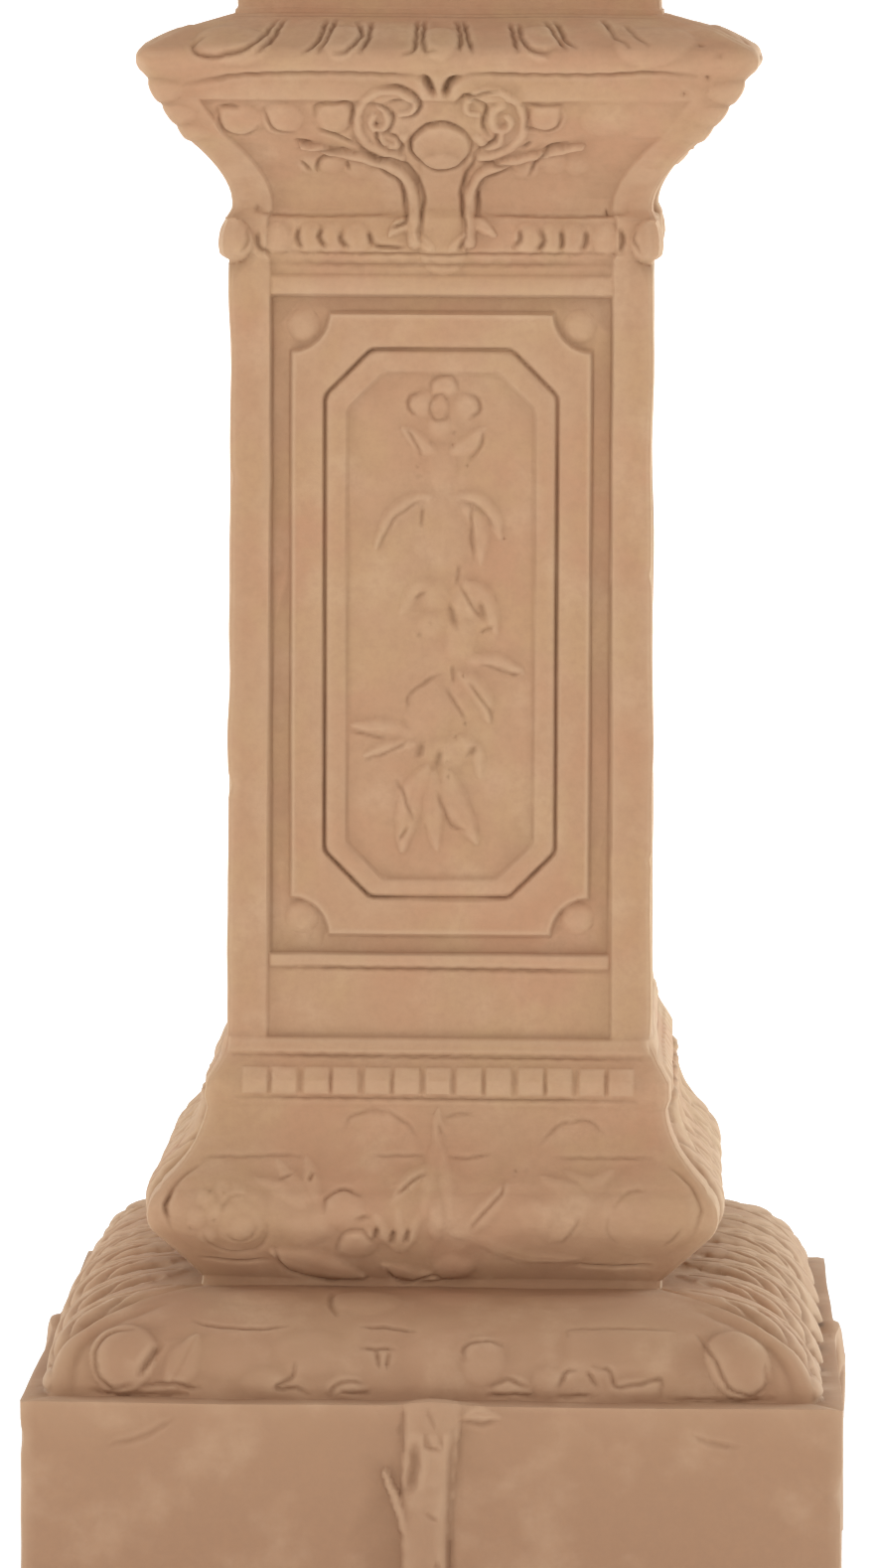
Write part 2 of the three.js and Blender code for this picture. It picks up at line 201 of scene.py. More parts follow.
def smooth_line(points, spacing=1.2):
    """A smooth curve through the given points, sampled about a millimetre apart."""
    given = np.asarray(points, float)
    if len(given) == 2:
        count = max(2, int(np.hypot(*(given[1] - given[0])) / spacing / 3))
        return np.linspace(given[0], given[1], count + 1)
    padded = np.vstack((2 * given[0] - given[1], given, 2 * given[-1] - given[-2]))
    pieces = []
    for before, start, end, after in zip(padded, padded[1:], padded[2:], padded[3:]):
        count = max(2, int(np.hypot(*(end - start)) / spacing))
        t = np.linspace(0.0, 1.0, count, endpoint=False)[:, None]
        pieces.append(
            0.5
            * (
                2 * start
                + (end - before) * t
                + (2 * before - 5 * start + 4 * end - after) * t**2
                + (3 * start - before - 3 * end + after) * t**3
            )
        )
    pieces.append(given[-1:])
    return np.vstack(pieces)


def mirrored(points):
    """The same stroke on the other half of the face."""
    return [(-x, z) for x, z in points]


def soft_step(gap, soft):
    """One inside a shape, where the gap is negative, and zero outside, with a soft edge."""
    share = np.clip(0.5 - gap / (2.0 * soft), 0.0, 1.0)
    return share * share * (3.0 - 2.0 * share)


def blunt_max(first, second, soft):
    """The larger of two gaps, with the corner between them rounded over a soft length."""
    share = np.clip(0.5 + 0.5 * (first - second) / soft, 0.0, 1.0)
    return second + (first - second) * share + soft * share * (1.0 - share)


class Relief:
    """Height of the clay off one face in mm: rows climb the profile and columns cross the face."""

    def __init__(self, outline, step):
        lengths = np.hypot(*np.diff(outline, axis=0).T)
        along = np.concatenate(([0.0], np.cumsum(lengths)))
        rows = int(along[-1] / step) + 1
        columns = 2 * int(170 / step) + 1
        self.along = np.linspace(0.0, along[-1], rows)
        self.half = np.interp(self.along, along, outline[:, 0])
        self.z = np.interp(self.along, along, outline[:, 1])
        self.across = np.linspace(-1.0, 1.0, columns)
        self.height = np.zeros((rows, columns))
        self.ground = self.height.copy()
        # Painted shade in the grooves and hollows, and a pale painted highlight on raised edges and arrises,
        # partly wear.
        self.painted_shade = np.zeros((rows, columns))
        self.wear_and_highlight = np.zeros((rows, columns))
        self.normal = self.profile_normals()

    def profile_normals(self, smooth=3):
        """Outward direction of every row in the plane of the profile, evened out over a few rows."""
        spread = np.gradient(self.half, self.along)
        rise = np.gradient(self.z, self.along)
        window = np.ones(2 * smooth + 1) / (2 * smooth + 1)
        padded = [np.pad(values, smooth, mode="edge") for values in (rise, -spread)]
        normal = np.stack([np.convolve(values, window, mode="valid") for values in padded], axis=1)
        return normal / np.linalg.norm(normal, axis=1, keepdims=True)

    def copy(self):
        """A second face with the same relief."""
        twin = object.__new__(Relief)
        twin.__dict__ = {
            key: value.copy() if key in ("height", "ground", "painted_shade", "wear_and_highlight") else value
            for key, value in self.__dict__.items()
        }
        return twin

    def settle(self):
        """Make the present surface the ground for the next motif."""
        self.ground = self.height.copy()

    def up(self, z):
        """Distance along the profile at height z."""
        return float(np.interp(z, self.z, self.along))

    def window(self, low, high):
        """Rows and columns that cover a box of (x, distance) on the face."""
        rows = slice(*np.searchsorted(self.along, (low[1], high[1])))
        halves = self.half[rows]
        left = np.searchsorted(self.across, (low[0] / halves).min())
        right = np.searchsorted(self.across, (high[0] / halves).max())
        return rows, slice(left, right)

    def cells(self, rows, columns):
        """Place of each cell in a window, as x and distance along the profile."""
        return self.half[rows][:, None] * self.across[columns][None, :], self.along[rows][:, None]

    def near(self, points, reach):
        """Window round a given stroke, with each cell's distance to it and share along it."""
        line = smooth_line([(x, self.up(z)) for x, z in points])
        line = line + 0.25 * np.sin(0.55 * line[:, ::-1] + 1.7 * line[0])
        rows, columns = self.window(line.min(axis=0) - reach, line.max(axis=0) + reach)
        x, s = self.cells(rows, columns)
        gap = np.full(np.broadcast(x, s).shape, np.inf)
        share = np.zeros(gap.shape)
        steps = np.hypot(*np.diff(line, axis=0).T)
        starts = np.concatenate(([0.0], np.cumsum(steps)))
        for start, end, before, step in zip(line, line[1:], starts, steps):
            run = (end - start) / step
            ahead = np.clip((x - start[0]) * run[0] + (s - start[1]) * run[1], 0.0, step)
            found = np.hypot(x - start[0] - ahead * run[0], s - start[1] - ahead * run[1])
            closer = found < gap
            gap = np.where(closer, found, gap)
            share = np.where(closer, (before + ahead) / starts[-1], share)
        return (rows, columns), gap, share

    def lift(self, window, shape):
        """Raise the ground in a window to a shape, without piling one form on another."""
        self.height[window] = np.maximum(self.height[window], self.ground[window] + shape)

    def cut(self, points, width=2.0, depth=1.6, dark=0.8):
        """Incise a stroke with a wooden tool, leaving a slight burr on both sides, and paint shade into the
        groove.
        """
        window, gap, share = self.near(points, 3.2 * width)
        fade = 0.35 + 0.65 * np.clip(np.minimum(share, 1.0 - share) / 0.18, 0.0, 1.0)
        groove = np.exp(-((gap / (0.52 * width)) ** 2))
        burr = 0.16 * np.exp(-(((gap - 1.25 * width) / (0.65 * width)) ** 2))
        self.height[window] += depth * fade * (burr - groove)
        # Painted shade: the groove's colour is darkened, most at its bottom.
        self.painted_shade[window] = np.maximum(self.painted_shade[window], dark * fade * groove)

    def ring(self, x, z, across, along, **tool):
        """Incise an oval."""
        turns = np.linspace(0.0, 2.0 * math.pi, 17)
        heights = np.interp(self.up(z) + along * np.sin(turns), self.along, self.z)
        self.cut(list(zip(x + across * np.cos(turns), heights)), **tool)

    def pit(self, x, z, radius, depth, dark):
        """Press in a small round hole."""
        self.cut([(x - 0.3, z), (x + 0.3, z + 0.2)], 2.0 * radius, depth, dark)

    def dome(self, x, z, across, along, height, turn=0.0, power=0.55):
        """Raise a rounded boss, leaning by turn degrees."""
        centre = self.up(z)
        reach = max(across, along)
        window = self.window((x - reach, centre - reach), (x + reach, centre + reach))
        gx, gs = self.cells(*window)
        angle = math.radians(turn)
        right = (gx - x) * math.cos(angle) + (gs - centre) * math.sin(angle)
        upward = (gs - centre) * math.cos(angle) - (gx - x) * math.sin(angle)
        inside = np.clip(1.0 - (right / across) ** 2 - (upward / along) ** 2, 0.0, 1.0)
        self.lift(window, height * inside**power)

    def cord(self, points, width, height, root=0.8, tip=0.6):
        """Raise a rounded strap or stem along a stroke."""
        window, gap, share = self.near(points, width)
        spread = 0.5 * width * (root + (tip - root) * share)
        self.lift(window, height * np.sqrt(np.clip(1.0 - (gap / spread) ** 2, 0.0, 1.0)))

    def slab(self, half, foot, top, height, middle=0.0, soft=0.9):
        """Raise a flat slab with soft edges between two heights."""
        low, high = self.up(foot), self.up(top)
        window = self.window((middle - half - soft, low - soft), (middle + half + soft, high + soft))
        x, s = self.cells(*window)
        gap = np.maximum(np.abs(x - middle) - half, np.abs(s - (low + high) / 2) - (high - low) / 2)
        self.lift(window, height * soft_step(gap, soft))

    def leaf(self, points, width, height, vein=0.5, curl=0.0):
        """Raise a leaf along its midrib, full in the middle, pointed and curling up at the tip."""
        window, gap, share = self.near(points, width)
        spread = 0.5 * width * (0.25 + 0.75 * np.sin(math.pi * np.clip(share, 0.0, 1.0) ** 0.85) ** 0.8)
        body = np.clip(1.0 - (gap / spread) ** 2, 0.0, 1.0) ** 0.6
        rib = vein * np.exp(-((gap / 0.9) ** 2))
        self.lift(window, np.where(body > 0.0, (height + curl * share) * body - rib, 0.0))

    def patch(self, x, z, across, along):
        """Window round an oval patch, with a share that fades from one in the middle to zero."""
        centre = self.up(z)
        window = self.window((x - across, centre - along), (x + across, centre + along))
        gx, gs = self.cells(*window)
        inside = np.clip(1.0 - ((gx - x) / across) ** 2 - ((gs - centre) / along) ** 2, 0.0, 1.0)
        return window, inside**0.6

    def roughen(self, x, z, across, along, amount, grain, seed):
        """Leave an oval patch uneven, as worn clay is."""
        window, share = self.patch(x, z, across, along)
        self.height[window] += amount * share * drift(share.shape, grain / self.along[1], seed)

    def wear(self, x, z, across, along, strength, soft=5.0):
        """Rub the relief soft in an oval patch, and lighten the painted shade in its grooves."""
        window, share = self.patch(x, z, across, along)
        share = strength * share
        softened = blurred(self.height[window], soft / self.along[1])
        self.height[window] += share * (softened - self.height[window])
        self.painted_shade[window] *= 1.0 - 0.8 * share


def blurred(values, sigma):
    """A soft copy of a grid, blurred over sigma cells in both directions."""
    reach = int(3 * sigma) + 1
    offsets = np.arange(-reach, reach + 1)
    weights = np.exp(-0.5 * (offsets / sigma) ** 2)
    weights /= weights.sum()
    result = values
    for axis in (0, 1):
        pads = [(reach, reach) if k == axis else (0, 0) for k in (0, 1)]
        padded = np.pad(result, pads, mode="edge")
        count = result.shape[axis]
        parts = [weight * np.take(padded, np.arange(k, k + count), axis) for k, weight in enumerate(weights)]
        result = np.sum(parts, axis=0)
    return result


def drift(shape, sigma, seed):
    """Smooth random unevenness of unit strength."""
    noise = np.random.default_rng(seed).normal(size=shape)
    rows, columns = (np.fft.fftfreq(count) for count in shape)
    damping = np.exp(-2.0 * (math.pi * sigma) ** 2 * (rows[:, None] ** 2 + columns[None, :] ** 2))
    smooth = np.fft.ifft2(np.fft.fft2(noise) * damping).real
    return smooth / smooth.std()


# The carved faces wait here, front first and then counter-clockwise, until the column is pressed
FACES = []


def strokes(face, lines, **tool):
    """Cut a list of strokes with one tool."""
    for line in lines:
        face.cut(line, **tool)


def pits(face, places, radius, depth, dark):
    """Press in a list of small round holes."""
    for x, z in places:
        face.pit(x, z, radius, depth, dark)


def domes(face, bosses, **form):
    """Raise a list of bosses, as (x, z, across, along, height)."""
    for x, z, across, along, height in bosses:
        face.dome(x, z, across, along, height, **form)


def leaves(face, blades, **form):
    """Raise a list of leaves, as (midrib, width, height)."""
    for midrib, width, height in blades:
        face.leaf(midrib, width, height, **form)


def both_halves(lines):
    """Strokes of the left half together with their mirror images."""
    return lines + [mirrored(line) for line in lines]


# Capital strokes on the left half of a face, then the right half as it is found on the front

EGG_STROKES = [
    [(-91, 864), (-96, 856), (-103, 849), (-112, 846), (-125, 844), (-133, 846), (-136, 850), (-131, 853)],
    [(-87, 864), (-91, 855), (-96, 849), (-100, 846)],
    [(-63, 864), (-65, 856), (-69, 850), (-75, 846)],
    [(-58, 864), (-61, 854), (-66, 847)],
    [(-46, 863), (-43, 857), (-45, 852), (-50, 847), (-57, 846)],
    [(-38, 863), (-39, 854), (-43, 847)],
    [(-13, 864), (-13, 853), (-14, 848), (-20, 846)],
    [(-9, 864), (-9, 853), (-7, 848), (-2, 847)],
]
EGG_STROKES_RIGHT = [
    [(8, 864), (11, 856), (11, 848)],
    [(12, 864), (15, 855), (18, 847)],
    [(37, 863), (40, 854), (42, 847)],
    [(42, 862), (44, 853), (49, 848), (56, 846), (62, 848)],
    [(56, 863), (62, 854), (68, 848)],
    [(61, 863), (67, 853), (73, 849)],
    [(86, 864), (93, 855), (101, 849)],
    [(98, 861), (105, 853), (111, 849)],
]
LIP_STROKES = [[(-139, 829), (-128, 831), (-110, 834), (-84, 835), (-48, 835), (-19, 834), (-9, 833)]]
LIP_STROKES_RIGHT = [[(10, 833), (23, 835), (53, 835), (89, 835), (112, 836), (136, 834)]]
LIP_SLOTS = [[(-8, 833), (-6, 829), (-3, 824)], [(10, 833), (5, 830), (3, 823)]]
NECK_LINE = [(-102, 761), (-99, 759), (-63, 758), (-24, 759)]
TONGUE_STROKES = [
    [(-123, 815), (-121, 806), (-117, 802), (-110, 800), (-102, 803), (-100, 805)],
    [(-121, 816), (-111, 816)],
    [(-97, 815), (-94, 808), (-90, 803), (-81, 802)],
    [(-69, 811), (-67, 817), (-49, 818), (-49, 808), (-51, 803)],
]
TONGUE_STROKES_RIGHT = [
    [(47, 817), (47, 808), (48, 805), (57, 804), (64, 807), (65, 816)],
    [(44, 818), (66, 818)],
]
VOLUTE_STROKES = [
    [(-31, 828), (-22, 828), (-15, 825), (-11, 819), (-11, 815), (-15, 812), (-21, 811)],
    [(-27, 820), (-23, 821), (-20, 820)],
    [(-38, 818), (-32, 818), (-27, 815), (-26, 809), (-29, 804), (-34, 803)],
    [(-35, 804), (-34, 798), (-32, 795), (-29, 796)],
    [(-29, 803), (-24, 800), (-21, 795), (-23, 790)],
]
VOLUTE_STROKES_RIGHT = [
    [(9, 818), (13, 823), (19, 824), (31, 827)],
    [(16, 823), (22, 820), (25, 817), (24, 812), (23, 807), (25, 803), (27, 801)],
    [(19, 791), (23, 795), (29, 799), (31, 803)],
]
BRANCH_STROKES = [
    [(-49, 802), (-46, 796), (-41, 791), (-34, 788), (-27, 788), (-19, 784), (-13, 776), (-10, 769),
     (-11, 757), (-13, 744)],
    [(-39, 783), (-34, 783), (-29, 779), (-23, 776), (-21, 770), (-20, 763), (-19, 759)],
    [(-67, 804), (-54, 799), (-47, 795)],
    [(-80, 797), (-71, 796)],
    [(-79, 792), (-69, 793), (-56, 793), (-51, 792)],
    [(-77, 786), (-74, 783), (-73, 781)],
    [(-68, 781), (-68, 786), (-64, 789), (-58, 790)],
    [(-52, 786), (-51, 782)],
    [(-27, 751), (-23, 752), (-20, 754), (-19, 757)],
    [(-38, 742), (-31, 740), (-21, 740)],
]
BRANCH_STROKES_RIGHT = [
    [(18, 791), (18, 787), (14, 780), (11, 773), (11, 767), (12, 757), (14, 745)],
    [(40, 782), (36, 783), (32, 781), (23, 778), (20, 772), (20, 763), (21, 758)],
    [(20, 787), (27, 786), (39, 786)],
    [(48, 779), (50, 785), (54, 790), (60, 795), (69, 796)],
    [(44, 794), (49, 797)],
    [(10, 739), (13, 746)],
]
BEAD_STROKES = [
    [(-101, 748), (-100, 741), (-95, 737)],
    [(-78, 750), (-79, 744), (-77, 739)],
    [(-66, 750), (-67, 745), (-64, 740)],
    [(-55, 749), (-55, 744), (-52, 740)],
    [(-40, 748), (-38, 742)],
]
BEAD_STROKES_RIGHT = [
    [(43, 750), (43, 745), (40, 741)],
    [(55, 750), (56, 744), (53, 739)],
    [(66, 749), (66, 743), (65, 739)],
    [(79, 749), (79, 743), (77, 739)],
    [(98, 750), (99, 744), (98, 738)],
]


SCROLL_STRAPS = [
    [(-22, 788), (-36, 793), (-44, 801), (-45, 812), (-40, 821), (-31, 826), (-21, 825), (-14, 819),
     (-15, 814), (-21, 813)],
    [(-33, 818), (-29, 815), (-28, 809), (-31, 805), (-36, 805), (-38, 809), (-36, 812)],
    [(-20, 800), (-25, 795), (-31, 797), (-33, 802)],
]
BRANCH_STEM = [(-15, 743), (-15, 762), (-17, 772), (-25, 782), (-45, 789), (-76, 795)]
KNOB_Z = 743
KNOB_ROUND = 9.0
CORNER_LUMPS = [(157, 825, 7, 2.0), (150, 812, 7, 1.6), (143, 802, 6, 1.2)]


def carve_capital_masses(face):
    """Raise the eggs, tongues, volutes, branch and beads that the strokes are cut into."""
    face.settle()
    for side in (-1, 1):
        face.dome(side * 114, 852, 22, 17, 2.8, turn=side * 20)
        face.dome(side * 53, 853, 11, 17, 2.4, turn=side * 8)
        face.dome(side * 111, 808, 14, 11, 2.8)
        face.dome(side * 87, 809, 12, 11, 2.6)
        face.dome(side * 58, 811, 10, 11, 2.8)
        face.dome(side * 28, 809, 20, 22, 1.8, power=0.8)
        face.cord([(side * -x, z) for x, z in BRANCH_STEM], 10, 4.0, tip=0.4)
        for x, z, size in ((73, 784, 7), (61, 786, 9), (46, 783, 8)):
            face.dome(side * x, z, size, size, 1.7, power=0.9)
        face.leaf([(side * 13, 748), (side * 20, 753), (side * 29, 747)], 9, 2.6)
        for x in (90, 72, 60.5, 47):
            face.dome(side * x, 744.5, 7.5, 10, 2.0)
        face.dome(side * 117, KNOB_Z, 14, 13, 5.0, power=0.5)
        for x, z, along, height in CORNER_LUMPS:
            face.dome(side * x, z, 16, along, height)
    face.dome(0, 853, 10, 17, 2.4)
    face.cord([(0.5, 737), (0, 760), (0, 784)], 26, 2.6, root=1.0, tip=0.9)
    face.settle()
    for side in (-1, 1):
        for strap in SCROLL_STRAPS:
            face.cord([(side * -x, z) for x, z in strap], 6.5, 1.9, root=0.9, tip=0.6)
        face.leaf([(side * 4, 738), (side * 9, 742), (side * 15, 748)], 7, 1.4)
    face.dome(0, 795, 16.5, 16, 3.8, power=0.4)


def carve_capital_lines(face, right_half):
    """Cut the drawn lines of the capital, with the given strokes on the right half."""
    egg, lip, tongue, volute, branch, bead = right_half
    strokes(face, EGG_STROKES + egg, width=2.2, depth=1.9)
    strokes(face, [[(-116, 865.6), (-50, 866), (40, 866), (116, 865.6)]], width=2.0, depth=0.9, dark=0.55)
    strokes(face, LIP_STROKES + lip, width=2.4, depth=1.7, dark=0.7)
    strokes(face, TONGUE_STROKES + tongue, width=1.9, depth=1.4, dark=0.7)
    strokes(face, VOLUTE_STROKES + volute, width=2.1, depth=1.9)
    strokes(face, BRANCH_STROKES + branch, width=2.0, depth=1.7)
    strokes(face, BEAD_STROKES + bead, width=2.4, depth=2.0)
    strokes(face, LIP_SLOTS, width=3.6, depth=4.5, dark=1.0)
    face.ring(0, 795, 16.8, 16.5, width=2.0, depth=1.8, dark=0.75)
    strokes(face, both_halves([[(-107, 750), (-105, 744), (-109, 738)]]), width=1.8, depth=1.1, dark=0.5)
    strokes(face, both_halves([NECK_LINE]), width=1.8, depth=1.1, dark=0.45)
    strokes(face, [[(-100, 736.5), (0, 736), (100, 736.5)]], width=1.8, depth=1.2, dark=0.6)
    pits(face, [(-102, 761), (-35, 808), (90, 760), (-19.5, 758.5), (35, 808)], 1.5, 2.2, 0.9)


# Foot and top of the corner strips
STRIP_RUN = (301, 821)


class COLUMN_OT_mould(bpy.types.Operator):
    """Set out the plain mouldings of the four faces"""

    bl_idname = "column.mould"
    bl_label = "Set Out Mouldings"

    def execute(self, context):
        size = sizes()
        step = context.scene.column_finish.relief_step / MM
        face = Relief(column_profile(size), step)
        half = face.half[:, None]
        inner = half * np.abs(face.across)[None, :] - (half - size["strip_width"])
        foot, top = STRIP_RUN
        in_rows = np.clip(np.minimum(face.z - foot, top - face.z) / 2.0, 0.0, 1.0)[:, None]
        face.height -= size["strip_proud"] * in_rows * soft_step(inner, 1.1)
        face.settle()
        FACES[:] = [face]
        return {"FINISHED"}


# Parts of the shaft's panel, as half width, foot and top
RECESS = (93.5, 349, 713)
UPPER_RAIL = (94, 713, 724)
LOWER_RAIL = (94, 341, 349)
PLATE = (83, 359, 704)
FRAME = (64, 380.5, 684)
FIELD = (51.5, 391, 671)
FRAME_CHAMFER = 25.5
FIELD_CHAMFER = 20
NOTCH_ROUND = 21
ROUNDELS = [(76, 697), (76.5, 369)]


class COLUMN_OT_shaft_panel(bpy.types.Operator):
    """Model the sunk panel with its notched plate, octagonal frame, rails and roundels"""

    bl_idname = "column.shaft_panel"
    bl_label = "Model Shaft Panel"

    def execute(self, context):
        face = FACES[0]
        depth = sizes()["panel_depth"]
        rows = slice(*np.searchsorted(face.z, (296, 740)))
        level = face.height[rows]
        painted_shade = face.painted_shade[rows]
        x = np.abs(face.half[rows][:, None] * face.across[None, :])
        z = face.z[rows][:, None]
        # Uneven strength of the painted shade in the grooves and along the panel's edges.
        shade_strength = np.clip(0.85 + 0.25 * drift(level.shape, 9 / face.along[1], 1), 0.3, 1.0)

        def gap_to_box(half, foot, top):
            return np.maximum(x - half, np.abs(z - (foot + top) / 2) - (top - foot) / 2)

        def gap_to_octagon(half, foot, top, chamfer):
            corner = x + np.abs(z - (foot + top) / 2) - (half + (top - foot) / 2 - chamfer)
            return blunt_max(gap_to_box(half, foot, top), corner / math.sqrt(2), 2.5)

        def lay(shape, height):
            level[:] += shape * (height - level)

        recess = gap_to_box(*RECESS)
        for rail in (UPPER_RAIL, LOWER_RAIL):
            lay(soft_step(gap_to_box(*rail), 0.9), -0.9)
        lay(soft_step(recess, 0.9), -depth)
        half, foot, top = PLATE
        notch = NOTCH_ROUND - np.hypot(x - half, np.abs(z - (foot + top) / 2) - (top - foot) / 2)
        plate = np.maximum(gap_to_box(*PLATE), notch)
        lay(soft_step(plate, 1.0), -1.9)
        level += 0.5 * np.exp(-(((plate + 1.8) / 1.0) ** 2))
        octagon = gap_to_octagon(*FRAME, FRAME_CHAMFER)
        level += 0.7 * soft_step(octagon, 0.8) * np.exp(-(((octagon + 6.0) / 4.5) ** 2))
        sunk = gap_to_octagon(*FIELD, FIELD_CHAMFER)
        lay(soft_step(sunk, 1.4), -3.7)
        groove = np.exp(-((octagon / 1.0) ** 2))
        level -= 2.8 * groove
        # Painted shade in the octagon groove, and painted shadow lines along the edges of the recess, the
        # plate and the sunk field.
        painted_shade[:] = np.maximum(painted_shade, shade_strength * groove)
        for gap, dark in ((recess, 0.5), (plate, 0.25), (sunk, 0.35)):
            painted_shade[:] = np.maximum(painted_shade, dark * shade_strength * np.exp(-((gap / 1.1) ** 2)))
        face.settle()
        for out, height in ROUNDELS:
            domes(face, [(-out, height, 9.2, 9.2, 2.8), (out, height, 9.2, 9.2, 2.8)], power=0.7)
        strokes(face, [[(-95, 731), (0, 730.5), (95, 731)]], width=2.0, depth=1.0, dark=0.5)
        strokes(face, [[(-93, 341), (0, 340.5), (94, 339.5)]], width=2.0, depth=1.2, dark=0.7)
        return {"FINISHED"}


class COLUMN_OT_capital(bpy.types.Operator):
    """Model the eggs, volutes, medallion, tongues and beads of the capital"""

    bl_idname = "column.capital"
    bl_label = "Model Capital"

    def execute(self, context):
        carve_capital_masses(FACES[0])
        return {"FINISHED"}


class COLUMN_OT_base(bpy.types.Operator):
    """Model the row of billets and the plinth's stalk"""

    bl_idname = "column.base"
    bl_label = "Model Base"

    def execute(self, context):
        carve_billets(FACES[0])
        carve_plinth(FACES[0])
        return {"FINISHED"}


def carve_billets(face):
    """A fillet and a row of square billets above the hollow, with scored lines between."""
    face.settle()
    pitch = 17
    face.slab(118, 293.5, 301.5, 1.1)
    for i in range(-6, 7):
        sway = 0.6 * math.sin(2.7 * i)
        face.slab(6.9, 272 + 0.4 * sway, 286, 1.3, middle=i * pitch + sway)
    strokes(face, [[(-112, 269.5), (0, 269.5), (111, 269)], [(-114, 292.5), (0, 292), (112, 291.5)]],
            width=1.9, depth=1.3, dark=0.65)
    for i in range(-6, 6):
        face.cut([((i + 0.5) * pitch, 272), ((i + 0.5) * pitch, 284)], width=1.7, depth=0.6, dark=0.45)


CAVETTO_STROKES = [
    [(-52, 253), (-48, 259), (-39, 262), (-29, 262), (-19, 257), (-13, 251), (-11, 249)],
    [(57, 245), (62, 251), (69, 256), (79, 258), (86, 257), (93, 251)],
    [(4, 259), (11, 261), (19, 261)],
    [(1, 255), (2, 249)],
    [(-130, 236), (-122, 238), (-107, 238), (-85, 239), (-75, 238)],
    [(-35, 239), (-24, 239), (-7, 239)],
    [(6, 239), (15, 238), (29, 240)],
    [(66, 239), (89, 239), (120, 239)],
]
CUSHION_STROKES = [
    [(-62, 211), (-60, 218), (-51, 222), (-42, 219)],
    [(-55, 188), (-53, 196), (-48, 200), (-41, 201), (-37, 197), (-34, 193)],
    [(-43, 207), (-36, 208)],
    [(-86, 227), (-80, 229)],
    [(-70, 226), (-68, 230)],
    [(-6, 230), (-15, 225), (-21, 220)],
    [(19, 202), (25, 209), (30, 215), (36, 220), (37, 225)],
    [(70, 194), (76, 201), (80, 209)],
    [(-88, 189), (-87, 183), (-83, 175), (-76, 171), (-61, 167), (-49, 168)],
    [(-28, 176), (-24, 169), (-19, 166), (-12, 168), (-2, 172), (5, 167)],
    [(77, 179), (99, 178), (121, 179)],
    [(-130, 181), (-110, 179), (-92, 181)],
]


ROSETTE_PELLETS = [(-126, 217), (-117, 221), (-131, 207), (-125, 197), (-109, 220), (-121, 209)]
ROSETTE_PITS = [(-124, 220), (-129, 213), (-121, 206), (-134, 201), (-116, 219), (-112, 214), (-127, 196)]
ROSETTE_STROKES = [
    [(-127, 199), (-122, 190), (-112, 186), (-101, 187), (-94, 193), (-92, 203)],
    [(-114, 199), (-108, 195), (-101, 197), (-98, 203)],
    [(-118, 211), (-113, 217), (-105, 218)],
    [(95, 209), (96, 200), (101, 194)],
    [(137, 203), (133, 197), (128, 194)],
    [(99, 214), (106, 221), (116, 223)],
]


def carve_rosettes(face):
    """A round flower with pellets on the left end of the cushion and a plain worn boss on the right."""
    face.settle()
    face.dome(-107, 203, 12.5, 13, 1.4, power=0.6)
    for x, z in ROSETTE_PELLETS:
        face.dome(x, z, 5.6, 6.4, 1.1, power=0.8)
    face.settle()
    face.dome(-106, 203, 6.5, 6.0, 0.8, power=0.8)
    strokes(face, ROSETTE_STROKES, width=2.0, depth=0.9, dark=0.32)
    pits(face, ROSETTE_PITS, 1.2, 1.0, 0.45)


CUSHION_LEAVES = [
    ([(-72, 213), (-84, 221), (-99, 227)], 11, 1.8),
    ([(-70, 216), (-79, 226), (-88, 236)], 9, 1.6),
    ([(-66, 216), (-69, 227), (-72, 238)], 9, 1.6),
    ([(-21, 187), (-28, 199), (-33, 210)], 7, 1.8),
    ([(-20, 187), (-20, 201), (-21, 213)], 7, 1.8),
    ([(-19, 187), (-13, 199), (-9, 210)], 7, 1.8),
    ([(-1, 246), (-4, 228), (-7, 207)], 8, 1.5),
    ([(1, 246), (5, 228), (8, 207)], 8, 1.5),
    ([(0, 264), (0, 252), (0, 240)], 7, 1.3),
    ([(0, 194), (0, 209), (0, 222)], 8, 1.5),
    ([(-4, 234), (-14, 227), (-24, 216)], 10, 1.8),
    ([(-89, 186), (-66, 178), (-42, 170)], 21, 2.6),
    ([(-30, 178), (-14, 172), (3, 170)], 13, 2.0),
    ([(18, 200), (28, 212), (39, 225)], 12, 1.8),
    ([(64, 195), (74, 204), (83, 215)], 12, 1.8),
    ([(86, 215), (74, 222), (58, 229)], 11, 1.6),
    ([(98, 233), (86, 227), (72, 232)], 9, 1.4),
]
CUSHION_BUDS = [
    (-51, 212, 12, 11, 2.2),
    (-63, 204, 9, 9, 1.8),
    (-44, 192, 11.5, 13, 3.0),
    (-72, 199, 12, 11, 1.6),
    (9.5, 177, 12, 11, 2.8),
    (48, 212, 4.5, 5, 1.6),
    (55, 215, 4.5, 5, 1.6),
    (62, 211, 4.5, 5, 1.6),
    (51, 205, 4.5, 5, 1.6),
    (59, 204, 4.5, 5, 1.6),
]
HANGING_LOBES = [
    (-38, 161, 20, 18, 2.6),
    (-95, 162, 24, 14, 1.6),
    (14, 162, 22, 13, 1.2),
    (75, 162, 34, 12, 1.2),
]


